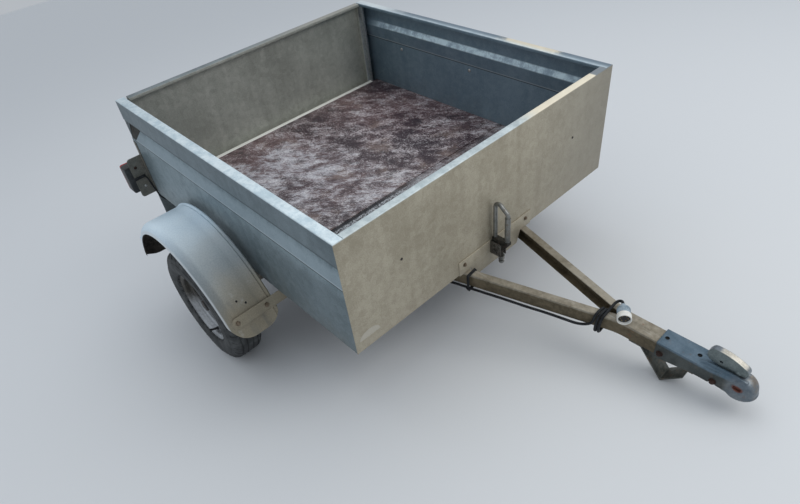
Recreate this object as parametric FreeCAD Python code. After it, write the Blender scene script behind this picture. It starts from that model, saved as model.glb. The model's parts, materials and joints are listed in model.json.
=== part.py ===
import FreeCAD, Part
import math
import os

from FreeCAD import Placement, Rotation, Vector

# Small galvanised tipping trailer, single axle, parked on its folded foot.
# Millimetres. The trailer is modelled level, with X forward to the coupling, Y to its left and Z up
# from the underside of the tub. At the end everything is pitched as it parks, wheels and foot on Z = 0.

os.makedirs("parts", exist_ok=True)

# Driving sizes of the tub
TUB_LENGTH = 1074.0
TUB_WIDTH = 1000.0
TUB_HEIGHT = 337.0
SHEET = 1.5
SIDE_RAIL_WIDTH = 29.0
END_RAIL_WIDTH = 22.0
RAIL_LIP = 12.0
RAIL_RETURN = 9.0
BOTTOM_FLANGE = 20.0
GROOVE_TOP = 274.0
GROOVE_RIDGE = 257.0
GROOVE_BOTTOM = 210.0
GROOVE_DEPTH = 9.0
GROOVE_NOTCH = 62.0
CORNER_FLANGE = 18.0

# Floor
FLOOR_TOP = 28.0
BOARD_THICKNESS = 12.0
BOARD_SEAM_X = 145.0
BOARD_SEAM = 3.0
BEARER_WIDTH = 40.0
BEARER_WALL = 2.0
SEAT_GAP = 0.3
RUNNING_GAP = 6.0

# Tailgate, its posts, hinges and catches
GATE_FLANGE = 14.0
GATE_FOOT = 7.0
HINGE_RADIUS = 4.0
HINGE_PIN_RADIUS = 2.2
HINGE_LENGTH = 60.0
HINGE_SPREAD = 260.0
HINGE_SHEET = 2.5
HINGE_LEAF = 35.0
POST_DEPTH = 30.0
CATCH_HEIGHT = 46.0
CATCH_DROP = 37.0
CATCH_LAP = 16.0
CATCH_ROOT = 22.0
SILL_LIP = 16.0

# Rear skirt and lamps
SKIRT_DEPTH = 92.0
SKIRT_FLANGE = 18.0
LAMP_HEIGHT = 94.0
LAMP_WIDTH = 88.0
LAMP_DEPTH = 36.0
LAMP_CENTRE_Z = 72.0
BRACKET_REACH = 48.0
BRACKET_TOP = 146.0
BRACKET_SHEET = 3.0
BRACKET_FOOT = 2.0
LAMP_OVERHANG = 18.0
LENS_MARGIN = 5.0
LENS_DEPTH = 7.0

# Wheels and axle
TYRE_RADIUS = 187.0
TYRE_WIDTH = 104.0
RIM_RADIUS = 114.0
RIM_WIDTH = 76.0
RIM_SHEET = 2.5
RIM_SEAT = 12.0
TYRE_BEAD = 32.0
WHEEL_X = -50.0
WHEEL_Z = -130.0
WHEEL_GAP = 48.0
HUB_RADIUS = 34.0
STUB_RADIUS = 12.5
STUB_PLUG = 60.0
STUB_SHOULDER = 4.0
STUB_TIP = 24.0
AXLE_RADIUS = 24.0
AXLE_WALL = 3.0
AXLE_END_GAP = 14.0
PIN_GAP = 0.3

# Mudguards
GUARD_RADIUS = 320.0
GUARD_X = -75.0
GUARD_GAP = 22.0
GUARD_OVERHANG = 7.0
GUARD_SHOULDER = 26.0
GUARD_BEAD = 4.0
GUARD_FRONT_ANGLE = 19.5
GUARD_REAR_ANGLE = 169.0
GUARD_CORNER = 58.0
GUARD_INNER_CORNER = 44.0
GUARD_SHEET = 1.5
STRAP_WIDTH = 30.0
STRAP_THICKNESS = 4.0
STRAP_ANGLE = 30.0
STRAP_DROP = 18.0
STRAP_MARGIN = 9.0
STRAP_LAP = 38.0
STRAP_TAB_WIDTH = 28.0
STRAP_TAB_DEPTH = 24.0

# Drawbar
ARM_HEIGHT = 40.0
ARM_FLANGE = 21.0
ARM_WALL = 3.0
ARM_SLANT = 15.72
ARM_NOSE_HALF = 22.0
ARM_BEND_RADIUS = 150.0
ARM_BEND_X = 944.0
ARM_NOSE_X = 1108.0
ARM_TAIL_X = -48.0
CROSSBAR_INSET = 56.0
CROSSBAR_THICKNESS = 6.0
HANGER_WIDTH = 56.0
HANGER_SHEET = 4.0
HANGER_FOOT = 8.0
SADDLE_Y = 350.0
SADDLE_PLATE = 6.0
SADDLE_WIDTH = 84.0
SADDLE_RIM = 10.0
SADDLE_COLLAR = 4.0

# Coupling
COUPLING_REAR_X = 1018.0
COUPLING_WALL = 4.0
NECK_X = 1140.0
BALL_X = 1198.0
BALL_Z = -21.0
BALL_RADIUS = 25.0
SOCKET_GAP = 0.5
NOSE_WALL = 7.0
NOSE_RIM_Z = -30.0
NOSE_LIP = 3.0
THROAT_HALF = 12.0
HUMP_REAR_X = 1110.0
HUMP_FRONT_X = 1208.0
HUMP_HALF = 19.0
HUMP_TOP = 13.0
HUMP_TAPER = 4.0
LEVER_WIDTH = 15.4
LEVER_SHEET = 2.0
LEVER_GAP = 1.2

# Parking foot
FOOT_WIDTH = 44.0
FOOT_SHEET = 4.0
FOOT_X = 1046.0
FOOT_Z = -116.0
FOOT_FRONT_X = 1092.0
FOOT_FRONT_Z = -68.0
FOOT_REAR_X = 985.0
FOOT_SEAT = 30.0

# Front latch
LATCH_PLATE_WIDTH = 297.0
LATCH_PLATE_TOP = 45.5
LATCH_PLATE_SHEET = 3.0
LATCH_TONGUE = 38.5
TONGUE_SLANT = 14.0
HANDLE_Y = -15.0
HANDLE_TOP = 168.0
HANDLE_SHOULDER = 150.0
HANDLE_BACK = 10.8
HANDLE_FRONT = 51.0
HANDLE_BAR = 4.2
HANDLE_GRIP = 7.0
PAWL_HALF = 8.0
PAWL_FOOT = 24.0
PAWL_TOP = 58.0
BRACKET_HALF = 12.0
BRACKET_LOW = 4.0
BRACKET_HIGH = 46.0
LATCH_BRACKET_DEPTH = 39.0
ROD_OUT = 33.0
ROD_RADIUS = 5.0
ROD_FOOT = -50.0
NUT_RADIUS = 8.0
NUT_HEIGHT = 12.0

# Cable and plug
CABLE_DIAMETER = 7.0
WINDING_X = 872.0
WINDING_LENGTH = 18.0
PLUG_RADIUS = 17.0
PLUG_LENGTH = 50.0
PLUG_WALL = 3.0
PLUG_SOCKET = 24.0
PLUG_X = 909.5
PLUG_Y = 15.5
PLUG_TURN = -56.3
TIE_X = 556.0
TIE_WIDTH = 4.0
TIE_WALL = 1.6
TIE_SLACK = 9.0
SLEEVE_X = 482.0
SLEEVE_LENGTH = 24.0
SLEEVE_RADIUS = 5.6
WINDING_WALL = 8.2
WINDING_FOOT_Z = -60.0
LEAD_RISE = 4.0
LEAD_TAIL = 8.0

# Places that follow from the sizes above
HALF_LENGTH = TUB_LENGTH / 2
HALF_WIDTH = TUB_WIDTH / 2
INNER_HALF_WIDTH = HALF_WIDTH - SHEET
BOARD_BOTTOM = FLOOR_TOP - BOARD_THICKNESS
REAR = -HALF_LENGTH
FRONT = HALF_LENGTH
CATCH_Z = TUB_HEIGHT - CATCH_DROP
WHEEL_Y = HALF_WIDTH + WHEEL_GAP + TYRE_WIDTH / 2
GUARD_INNER_Y = HALF_WIDTH + GUARD_GAP
GUARD_OUTER_Y = WHEEL_Y + TYRE_WIDTH / 2 + GUARD_OVERHANG
STRAP_OUTER_Y = GUARD_OUTER_Y - STRAP_MARGIN
STRAP_INNER_Y = HALF_WIDTH - STRAP_LAP
# The straps cross the guards this far under the tub, which sets how high the guards sit.
GUARD_Z = -STRAP_DROP - (GUARD_RADIUS + GUARD_BEAD) * math.sin(math.radians(STRAP_ANGLE))
CROSSBAR_X = FRONT - CROSSBAR_INSET
HANDLE_BACK_X = FRONT + HANDLE_BACK
HANDLE_FRONT_X = FRONT + HANDLE_FRONT
BRACKET_FRONT_X = FRONT + LATCH_BRACKET_DEPTH
ROD_X = FRONT + ROD_OUT
SIDES = (("right", -1), ("left", 1))

nodes = {}


def box(x0, x1, y0, y1, z0, z1):
    corner = Vector(min(x0, x1), min(y0, y1), min(z0, z1))
    return Part.makeBox(abs(x1 - x0), abs(y1 - y0), abs(z1 - z0), corner)


def lift(point, plane, level):
    """Put a flat point on a plane: yz at x = level, xz at y = level, or xy at z = level."""
    a, b = point
    if plane == "yz":
        return Vector(level, a, b)
    if plane == "xz":
        return Vector(a, level, b)
    return Vector(a, b, level)


def along(plane, length):
    if plane == "yz":
        return Vector(length, 0, 0)
    if plane == "xz":
        return Vector(0, length, 0)
    return Vector(0, 0, length)


def prism(points, plane, start, end):
    """Extrude a closed outline of flat points from start to end across its plane."""
    corners = [lift(point, plane, start) for point in points]
    face = Part.Face(Part.makePolygon(corners + corners[:1]))
    return face.extrude(along(plane, end - start))


def arc_prism(points, plane, start, end):
    """Extrude a closed outline of arcs; its points go corner, middle of arc, corner, and so on."""
    corners = [lift(point, plane, start) for point in points]
    corners.append(corners[0])
    arcs = []
    for i in range(0, len(corners) - 2, 2):
        arcs.append(Part.Arc(*corners[i:i + 3]).toShape())
    return Part.Face(Part.Wire(arcs)).extrude(along(plane, end - start))


def folded(points, thickness):
    """Outline of a sheet folded along points, its thickness on the left of the way it runs."""
    shifted = []
    for i, (x, y) in enumerate(points):
        normals = []
        for j in (i - 1, i):
            if 0 <= j < len(points) - 1:
                dx = points[j + 1][0] - points[j][0]
                dy = points[j + 1][1] - points[j][1]
                size = math.hypot(dx, dy)
                normals.append((-dy / size, dx / size))
        mean_x = sum(n[0] for n in normals) / len(normals)
        mean_y = sum(n[1] for n in normals) / len(normals)
        stretch = thickness / (mean_x ** 2 + mean_y ** 2)
        shifted.append((x + mean_x * stretch, y + mean_y * stretch))
    return list(points) + shifted[::-1]


def cylinder(radius, start, end):
    axis = end - start
    return Part.makeCylinder(radius, axis.Length, start, axis)


def mirrored(shape):
    return shape.mirror(Vector(0, 0, 0), Vector(0, 1, 0))


def pair(shape):
    """The right-hand shape and its mirror image, side by side in one node."""
    return Part.makeCompound([shape, mirrored(shape)])


def on_side(shape, side):
    """Shapes are drawn for the right, where Y is negative, and mirrored for the left."""
    return mirrored(shape) if side > 0 else shape


def joined(shapes):
    result = shapes[0]
    for shape in shapes[1:]:
        result = result.fuse(shape)
    return result.removeSplitter()


# Tub: side panels, folded with a rail along the top and a pressed groove


def side_panel():
    rail_inner = -HALF_WIDTH + SIDE_RAIL_WIDTH
    profile = [
        (rail_inner - RAIL_RETURN, TUB_HEIGHT - RAIL_LIP),
        (rail_inner, TUB_HEIGHT - RAIL_LIP),
        (rail_inner, TUB_HEIGHT),
        (-HALF_WIDTH, TUB_HEIGHT),
        (-HALF_WIDTH, GROOVE_TOP),
        (-HALF_WIDTH + GROOVE_DEPTH, GROOVE_RIDGE),
        (-HALF_WIDTH, GROOVE_BOTTOM),
        (-HALF_WIDTH, 0),
        (-HALF_WIDTH + BOTTOM_FLANGE, 0),
    ]
    front_end = FRONT - SHEET
    panel = prism(folded(profile, SHEET), "yz", REAR, front_end)
    flange = box(front_end - SHEET, front_end, -HALF_WIDTH + SHEET / 2, -HALF_WIDTH + CORNER_FLANGE,
                 SHEET, GROOVE_BOTTOM)
    notch = prism([
        (REAR - 1, GROOVE_TOP),
        (REAR + GROOVE_NOTCH, GROOVE_TOP),
        (REAR + SHEET, GROOVE_BOTTOM),
        (REAR - 1, GROOVE_BOTTOM),
    ], "xz", -HALF_WIDTH - 1, -HALF_WIDTH + GROOVE_DEPTH + 2 * SHEET)
    return joined([panel, flange]).cut(notch)


for name, side in SIDES:
    nodes["side_panel_" + name] = on_side(side_panel(), side)


def front_panel():
    profile = [
        (FRONT - BOTTOM_FLANGE, 0),
        (FRONT, 0),
        (FRONT, TUB_HEIGHT),
        (FRONT - END_RAIL_WIDTH, TUB_HEIGHT),
        (FRONT - END_RAIL_WIDTH, TUB_HEIGHT - RAIL_LIP),
        (FRONT - END_RAIL_WIDTH + RAIL_RETURN, TUB_HEIGHT - RAIL_LIP),
    ]
    panel = prism(folded(profile, SHEET), "xz", -HALF_WIDTH, HALF_WIDTH)
    for side in (-1, 1):
        # The rail and the bottom flange stop short of the side panels.
        inner = HALF_WIDTH - SIDE_RAIL_WIDTH
        panel = panel.cut(box(FRONT - END_RAIL_WIDTH - 1, FRONT - SHEET, side * inner,
                              side * (HALF_WIDTH + 1), TUB_HEIGHT / 2, TUB_HEIGHT + 1))
        inner = HALF_WIDTH - BOTTOM_FLANGE - SEAT_GAP
        panel = panel.cut(box(FRONT - BOTTOM_FLANGE - 1, FRONT - SHEET, side * inner,
                              side * (HALF_WIDTH + 1), -1, TUB_HEIGHT / 2))
    return panel


nodes["front_panel"] = front_panel()

# Floor: bearers of upturned channel, the plywood in two boards, and the sill at the gate

BEARER_REACH = HALF_WIDTH - BOTTOM_FLANGE - SEAT_GAP
SILL_X = REAR + SILL_LIP + 4.0
# Middle of each bearer along the tub
BEARER_PLACES = (
    ("rear", REAR + POST_DEPTH + BEARER_WIDTH / 2 + 2 * SEAT_GAP),
    ("axle", WHEEL_X),
    ("seam", BOARD_SEAM_X),
    ("front", FRONT - BOTTOM_FLANGE - BEARER_WIDTH / 2 - 2.0),
)


def bearer(middle):
    half = BEARER_WIDTH / 2
    profile = [
        (middle - half, BOARD_BOTTOM),
        (middle - half, 0),
        (middle + half, 0),
        (middle + half, BOARD_BOTTOM),
    ]
    return prism(folded(profile, BEARER_WALL), "xz", -BEARER_REACH, BEARER_REACH)


nodes["floor_bearers"] = Part.makeCompound([bearer(middle) for name, middle in BEARER_PLACES])

BOARD_REACH = INNER_HALF_WIDTH - SEAT_GAP
BOARD_REAR = SILL_X + SHEET + SEAT_GAP
BOARD_FRONT = FRONT - 2 * SHEET - SEAT_GAP
POST_INNER = HALF_WIDTH - SIDE_RAIL_WIDTH


def rear_board():
    """Rear board, its corners cut out round the posts."""
    board = box(BOARD_REAR, BOARD_SEAM_X - BOARD_SEAM / 2, -BOARD_REACH, BOARD_REACH, BOARD_BOTTOM, FLOOR_TOP)
    corner_x = REAR + POST_DEPTH + SEAT_GAP
    for side in (-1, 1):
        board = board.cut(box(REAR, corner_x, side * (POST_INNER - SEAT_GAP), side * HALF_WIDTH,
                              0, TUB_HEIGHT))
    return board


nodes["floor_board_rear"] = rear_board()
nodes["floor_board_front"] = box(BOARD_SEAM_X + BOARD_SEAM / 2, BOARD_FRONT,
                                 -BOARD_REACH, BOARD_REACH, BOARD_BOTTOM, FLOOR_TOP)

sill_profile = [
    (SILL_X + SILL_LIP, FLOOR_TOP + SHEET),
    (SILL_X, FLOOR_TOP + SHEET),
    (SILL_X, SHEET),
    (SILL_X - SILL_LIP + 2 * SHEET, SHEET),
]
nodes["rear_sill"] = prism(folded(sill_profile, SHEET), "xz", -POST_INNER + SEAT_GAP, POST_INNER - SEAT_GAP)

# Rear: corner posts, skirt, brackets and lamps


def rear_post():
    outer = -HALF_WIDTH + SHEET
    inner = -POST_INNER
    profile = [
        (REAR, outer),
        (REAR, inner),
        (REAR + POST_DEPTH, inner),
        (REAR + POST_DEPTH, inner - RAIL_RETURN),
    ]
    top = TUB_HEIGHT - RAIL_LIP
    return prism(folded(profile, -SHEET), "xy", SHEET, top)


def skirt():
    half = HALF_WIDTH
    profile = [
        (REAR + SKIRT_FLANGE, -SKIRT_DEPTH),
        (REAR, -SKIRT_DEPTH),
        (REAR, 0),
        (REAR + SKIRT_FLANGE, 0),
    ]
    return prism(folded(profile, -SHEET), "xz", -half, half)


def lamp_bracket():
    outer = -HALF_WIDTH - BRACKET_REACH
    plate = prism([
        (outer, BRACKET_TOP),
        (-POST_INNER - SEAT_GAP, BRACKET_TOP),
        (-POST_INNER - SEAT_GAP, BRACKET_FOOT),
        (outer, BRACKET_FOOT),
    ], "yz", REAR - BRACKET_SHEET, REAR)
    notch_z = LAMP_CENTRE_Z
    notch = box(REAR - BRACKET_SHEET - 1, REAR + 1, outer - 1, -HALF_WIDTH - 10, notch_z - 6, notch_z + 6)
    return plate.cut(notch)


def rounded_block(x0, x1, y0, y1, z0, z1, radius):
    """Block whose four edges along X are rounded."""
    block = box(x0, x1, y0, y1, z0, z1)
    lengthwise = [edge for edge in block.Edges if abs(edge.tangentAt(edge.FirstParameter).x) > 0.9]
    return block.makeFillet(radius, lengthwise)


LAMP_OUTER_Y = -HALF_WIDTH - BRACKET_REACH - LAMP_OVERHANG
LAMP_FOOT_Z = LAMP_CENTRE_Z - LAMP_HEIGHT / 2
LAMP_TOP_Z = LAMP_CENTRE_Z + LAMP_HEIGHT / 2


def rear_lamp():
    back = REAR - BRACKET_SHEET
    return rounded_block(back - LAMP_DEPTH, back, LAMP_OUTER_Y, LAMP_OUTER_Y + LAMP_WIDTH,
                         LAMP_FOOT_Z, LAMP_TOP_Z, 8.0)


def rear_lens():
    back = REAR - BRACKET_SHEET - LAMP_DEPTH
    margin = LENS_MARGIN
    return rounded_block(back - LENS_DEPTH, back, LAMP_OUTER_Y + margin, LAMP_OUTER_Y + LAMP_WIDTH - margin,
                         LAMP_FOOT_Z + margin, LAMP_TOP_Z - margin, 6.0)


nodes["rear_skirt"] = skirt()
nodes["rear_posts"] = pair(rear_post())
nodes["lamp_brackets"] = pair(lamp_bracket())
for name, side in SIDES:
    nodes["lamp_housing_" + name] = on_side(rear_lamp(), side)
    nodes["lamp_lens_" + name] = on_side(rear_lens(), side)

# Tailgate, hinged along its foot outside the sheet

HINGE_X = REAR - HINGE_RADIUS - SEAT_GAP
HINGE_Z = GATE_FOOT - 3.0
GATE_HALF = POST_INNER - RUNNING_GAP


def tailgate():
    profile = [
        (REAR + END_RAIL_WIDTH - RAIL_RETURN, TUB_HEIGHT - RAIL_LIP),
        (REAR + END_RAIL_WIDTH, TUB_HEIGHT - RAIL_LIP),
        (REAR + END_RAIL_WIDTH, TUB_HEIGHT),
        (REAR, TUB_HEIGHT),
        (REAR, GATE_FOOT),
        (REAR + GATE_FLANGE, GATE_FOOT),
    ]
    panel = prism(folded(profile, SHEET), "xz", -GATE_HALF, GATE_HALF)
    flanges = []
    for side in (-1, 1):
        flanges.append(box(REAR + SHEET / 2, REAR + GATE_FLANGE, side * (GATE_HALF - SHEET),
                           side * GATE_HALF, GATE_FOOT + SHEET / 2, TUB_HEIGHT - SHEET / 2))
    return joined([panel] + flanges)


nodes["tailgate"] = tailgate()


def hinge(middle):
    """Gate leaf with its barrel, and the tub's two barrels with the pin through all three."""
    half = HINGE_LENGTH / 2
    third = HINGE_LENGTH / 6
    pin_start = Vector(HINGE_X, middle - half, HINGE_Z)
    pin_end = Vector(HINGE_X, middle + half, HINGE_Z)
    pin = cylinder(HINGE_PIN_RADIUS, pin_start, pin_end)
    barrels = []
    for side in (-1, 1):
        start = Vector(HINGE_X, middle + side * third, HINGE_Z)
        end = Vector(HINGE_X, middle + side * half, HINGE_Z)
        barrels.append(cylinder(HINGE_RADIUS, start, end))
        barrels.append(box(REAR - HINGE_SHEET, REAR, middle + side * third, middle + side * half,
                           HINGE_Z - HINGE_LEAF, HINGE_Z - 1.0))
    fixed = joined([pin] + barrels)
    clear = third - SEAT_GAP
    start = Vector(HINGE_X, middle - clear, HINGE_Z)
    end = Vector(HINGE_X, middle + clear, HINGE_Z)
    leaf = box(REAR - HINGE_SHEET, REAR, middle - clear, middle + clear, HINGE_Z + 1.0, HINGE_Z + HINGE_LEAF)
    moving = joined([cylinder(HINGE_RADIUS, start, end), leaf])
    moving = moving.cut(cylinder(HINGE_PIN_RADIUS + PIN_GAP, start, end))
    return fixed, moving


fixed_leaf, moving_leaf = hinge(-HINGE_SPREAD)
nodes["gate_hinges"] = pair(fixed_leaf)
nodes["gate_leaves"] = pair(moving_leaf)


def gate_catch():
    """Clip on the gate that laps the rear face of the post."""
    back = REAR - SEAT_GAP
    return box(back - BRACKET_SHEET, back, -POST_INNER - CATCH_LAP, -GATE_HALF + CATCH_ROOT,
               CATCH_Z - CATCH_HEIGHT / 2, CATCH_Z + CATCH_HEIGHT / 2)


nodes["gate_catches"] = pair(gate_catch())

# Mudguards: a rolled strip with a turned outer shoulder, cut by the lines of its two ends


def guard_point(radius, angle, y):
    turn = math.radians(angle)
    return Vector(GUARD_X + radius * math.cos(turn), y, GUARD_Z + radius * math.sin(turn))


def guard_end_trim(angle, way):
    """What is cut off to round the corners of a guard's end; way is the turn that leads off the end."""
    length = GUARD_CORNER + 1
    spare = 3.0
    inner = -GUARD_INNER_Y + spare
    outer = -GUARD_OUTER_Y - spare
    slab = box(-GUARD_CORNER, GUARD_CORNER, outer - 1, inner + 1, way * (spare + 1), -way * length)
    tongue = box(-length, length, outer, inner, way * spare, -way * 2 * length)
    for y, radius in ((outer, GUARD_CORNER), (inner, GUARD_INNER_CORNER)):
        corner = [edge for edge in tongue.Edges if abs(edge.CenterOfMass.z - way * spare) < 1
                  and abs(edge.CenterOfMass.y - y) < 1]
        tongue = tongue.makeFillet(radius, corner)
    trim = slab.cut(tongue)
    trim.Placement = Placement(guard_point(GUARD_RADIUS, angle, 0), Rotation(Vector(0, 1, 0), -angle))
    return trim


def mudguard():
    bead_y = -GUARD_INNER_Y - GUARD_BEAD
    outer = [
        (-GUARD_INNER_Y, GUARD_RADIUS + GUARD_BEAD),
        (bead_y, GUARD_RADIUS + GUARD_BEAD),
        (bead_y - GUARD_BEAD, GUARD_RADIUS),
        (-GUARD_OUTER_Y + GUARD_SHOULDER, GUARD_RADIUS),
        (-GUARD_OUTER_Y + 13.0, GUARD_RADIUS - 3.0),
        (-GUARD_OUTER_Y + 4.0, GUARD_RADIUS - 11.0),
        (-GUARD_OUTER_Y, GUARD_RADIUS - GUARD_SHOULDER),
    ]
    section = folded(outer, GUARD_SHEET)
    corners = [guard_point(radius, GUARD_FRONT_ANGLE, y) for y, radius in section]
    face = Part.Face(Part.makePolygon(corners + corners[:1]))
    centre = Vector(GUARD_X, 0, GUARD_Z)
    strip = face.revolve(centre, Vector(0, -1, 0), GUARD_REAR_ANGLE - GUARD_FRONT_ANGLE)
    return strip.cut(guard_end_trim(GUARD_FRONT_ANGLE, -1)).cut(guard_end_trim(GUARD_REAR_ANGLE, 1))


def guard_strap(angle):
    """Flat bar across the guard's face, turned up under the tub where it is bolted on."""
    middle = guard_point(GUARD_RADIUS + GUARD_BEAD, angle, 0)
    bar = box(SEAT_GAP, STRAP_THICKNESS, -STRAP_OUTER_Y, -STRAP_INNER_Y, -STRAP_WIDTH / 2, STRAP_WIDTH / 2)
    ends = [edge for edge in bar.Edges if abs(edge.tangentAt(edge.FirstParameter).x) > 0.9
            and edge.CenterOfMass.y < -STRAP_OUTER_Y + 1]
    bar = bar.makeFillet(STRAP_WIDTH / 2 - 1.0, ends)
    bar.Placement = Placement(middle, Rotation(Vector(0, 1, 0), -angle))
    outward = 1 if angle < 90 else -1
    tab_x = middle.x + outward * (STRAP_THICKNESS / 2)
    tab = box(tab_x - STRAP_TAB_WIDTH / 2, tab_x + STRAP_TAB_WIDTH / 2, -STRAP_INNER_Y - STRAP_TAB_DEPTH,
              -STRAP_INNER_Y, middle.z - 2.0, 0)
    return joined([bar, tab])


for name, side in SIDES:
    nodes["mudguard_" + name] = on_side(mudguard(), side)
    straps = Part.makeCompound([guard_strap(STRAP_ANGLE), guard_strap(180 - STRAP_ANGLE)])
    nodes["guard_straps_" + name] = on_side(straps, side)

# Saddles: plates under the floor that turn on the axle tube when the tub tips


def saddle():
    top = 0.0
    half = SADDLE_WIDTH / 2
    rim = AXLE_RADIUS + SADDLE_RIM
    plate = prism([
        (WHEEL_X - half, top),
        (WHEEL_X + half, top),
        (WHEEL_X + rim, WHEEL_Z),
        (WHEEL_X - rim, WHEEL_Z),
    ], "xz", -SADDLE_Y - SADDLE_PLATE / 2, -SADDLE_Y + SADDLE_PLATE / 2)
    start = Vector(WHEEL_X, -SADDLE_Y - SADDLE_PLATE / 2, WHEEL_Z)
    end = Vector(WHEEL_X, -SADDLE_Y + SADDLE_PLATE / 2, WHEEL_Z)
    collar_start = Vector(WHEEL_X, -SADDLE_Y - SADDLE_PLATE * 2, WHEEL_Z)
    collar_end = Vector(WHEEL_X, -SADDLE_Y + SADDLE_PLATE * 2, WHEEL_Z)
    collar = cylinder(AXLE_RADIUS + PIN_GAP + SADDLE_COLLAR, collar_start, collar_end)
    shape = joined([plate, cylinder(rim, start, end), collar])
    return shape.cut(cylinder(AXLE_RADIUS + PIN_GAP, collar_start, collar_end))


nodes["tub_saddles"] = pair(saddle())

# Axle: tube with stub axles, and the hangers that carry it under the arms

AXLE_END = WHEEL_Y - TYRE_WIDTH / 2 - AXLE_END_GAP


def on_axle(y):
    return Vector(WHEEL_X, y, WHEEL_Z)


def axle():
    tube = cylinder(AXLE_RADIUS, on_axle(-AXLE_END), on_axle(AXLE_END))
    return tube.cut(cylinder(AXLE_RADIUS - AXLE_WALL, on_axle(-AXLE_END), on_axle(AXLE_END)))


def stub_axle():
    shoulder_end = -AXLE_END - STUB_SHOULDER
    plug = cylinder(AXLE_RADIUS - AXLE_WALL, on_axle(-AXLE_END + STUB_PLUG), on_axle(-AXLE_END))
    shoulder = cylinder(AXLE_RADIUS, on_axle(-AXLE_END), on_axle(shoulder_end))
    pin = cylinder(STUB_RADIUS, on_axle(shoulder_end), on_axle(-WHEEL_Y - STUB_TIP))
    return joined([plug, shoulder, pin])


nodes["axle_tube"] = axle()
nodes["stub_axles"] = pair(stub_axle())

# Drawbar: two folded channels, spread to the axle and brought together in the coupling

SLOPE = math.tan(math.radians(ARM_SLANT))


def arm_track(offset):
    """Points of the right arm's outer face moved inwards by offset: tail, bend start, middle, end, nose."""
    angle = math.radians(ARM_SLANT)
    radius = ARM_BEND_RADIUS + offset
    centre_y = -ARM_NOSE_HALF - ARM_BEND_RADIUS
    bend_start = (ARM_BEND_X - radius * math.sin(angle), centre_y + radius * math.cos(angle))
    bend_middle = (ARM_BEND_X - radius * math.sin(angle / 2), centre_y + radius * math.cos(angle / 2))
    bend_end = (ARM_BEND_X, centre_y + radius)
    nose = (ARM_NOSE_X, centre_y + radius)
    tail = (ARM_TAIL_X, bend_start[1] - SLOPE * (bend_start[0] - ARM_TAIL_X))
    return tail, bend_start, bend_middle, bend_end, nose


def arm_layer(offset, bottom, top):
    """Plate between the arm's outer face and the same line moved inwards by offset."""
    outside = [Vector(x, y, bottom) for x, y in arm_track(0)]
    inside = [Vector(x, y, bottom) for x, y in arm_track(offset)]
    edges = [
        Part.LineSegment(outside[0], outside[1]).toShape(),
        Part.Arc(outside[1], outside[2], outside[3]).toShape(),
        Part.LineSegment(outside[3], outside[4]).toShape(),
        Part.LineSegment(outside[4], inside[4]).toShape(),
        Part.LineSegment(inside[4], inside[3]).toShape(),
        Part.Arc(inside[3], inside[2], inside[1]).toShape(),
        Part.LineSegment(inside[1], inside[0]).toShape(),
        Part.LineSegment(inside[0], outside[0]).toShape(),
    ]
    return Part.Face(Part.Wire(edges)).extrude(Vector(0, 0, top - bottom))


def arm():
    top = -SEAT_GAP
    bottom = top - ARM_HEIGHT
    return joined([
        arm_layer(ARM_FLANGE, top - ARM_WALL, top),
        arm_layer(ARM_FLANGE, bottom, bottom + ARM_WALL),
        arm_layer(ARM_WALL, bottom, top),
    ])


def arm_outer_y(x):
    """How far the arm's outer face stands from the middle on its slanted stretch."""
    start = arm_track(0)[1]
    return -start[1] + SLOPE * (start[0] - x)


def axle_hanger():
    """Upturned folded channel under the arm's tail, its cheeks bored for the axle tube."""
    middle = -arm_outer_y(WHEEL_X) + ARM_FLANGE / 2
    half_y = ARM_FLANGE
    top = -SEAT_GAP - ARM_HEIGHT
    half = HANGER_WIDTH / 2
    bottom = WHEEL_Z - AXLE_RADIUS - HANGER_FOOT
    profile = [
        (middle - half_y, bottom),
        (middle - half_y, top),
        (middle + half_y, top),
        (middle + half_y, bottom),
    ]
    channel = prism(folded(profile, -HANGER_SHEET), "yz", WHEEL_X - half, WHEEL_X + half)
    start = Vector(WHEEL_X, middle - half_y - 1, WHEEL_Z)
    end = Vector(WHEEL_X, middle + half_y + 1, WHEEL_Z)
    return channel.cut(cylinder(AXLE_RADIUS, start, end))


for name, side in SIDES:
    nodes["drawbar_arm_" + name] = on_side(arm(), side)
nodes["axle_hangers"] = pair(axle_hanger())

crossbar_top = -SEAT_GAP - ARM_WALL
crossbar_bottom = -SEAT_GAP - ARM_HEIGHT + ARM_WALL
crossbar_reach = arm_outer_y(CROSSBAR_X + CROSSBAR_THICKNESS) - ARM_WALL
nodes["drawbar_crossbar"] = box(CROSSBAR_X, CROSSBAR_X + CROSSBAR_THICKNESS, -crossbar_reach,
                                crossbar_reach, crossbar_bottom, crossbar_top)

# Coupling: a pressed head over the arms' nose, with a domed cup for the ball, and its lever


COUPLING_TOP = COUPLING_WALL - SEAT_GAP
# Lower edge of the coupling's cheeks: place along the trailer, height
CHEEK_EDGE = (
    (COUPLING_REAR_X, -45.0),
    (1030.0, -45.0),
    (1063.0, -40.0),
    (1100.0, -33.5),
    (NECK_X, -33.5),
)
# Places of the holes in the coupling's top
TOP_HOLES = (1030.0, 1104.0)
TOP_HOLE_RADIUS = 4.5
# The lever's side, as arcs from corner to corner: how far ahead of the ball's middle, height
LEVER_OUTLINE = (
    (-73.0, 16.5),
    (-80.5, 28.0),
    (-77.5, 41.0),
    (-73.0, 47.5),
    (-64.0, 49.8),
    (-33.0, 47.0),
    (-6.0, 37.0),
    (5.0, 24.0),
    (-1.0, 13.0),
    (-36.0, 8.6),
)
LEVER_HOLLOW = (-79.0, 1.0)
LEVER_HOLLOW_TOP = 34.0
KEYHOLE_AHEAD = -50.0
KEYHOLE_Z = 23.0
KEYHOLE_RADIUS = 3.0
PIVOT_AHEAD = -13.0
PIVOT_Z = 14.0
PIVOT_RADIUS = 4.0


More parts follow.
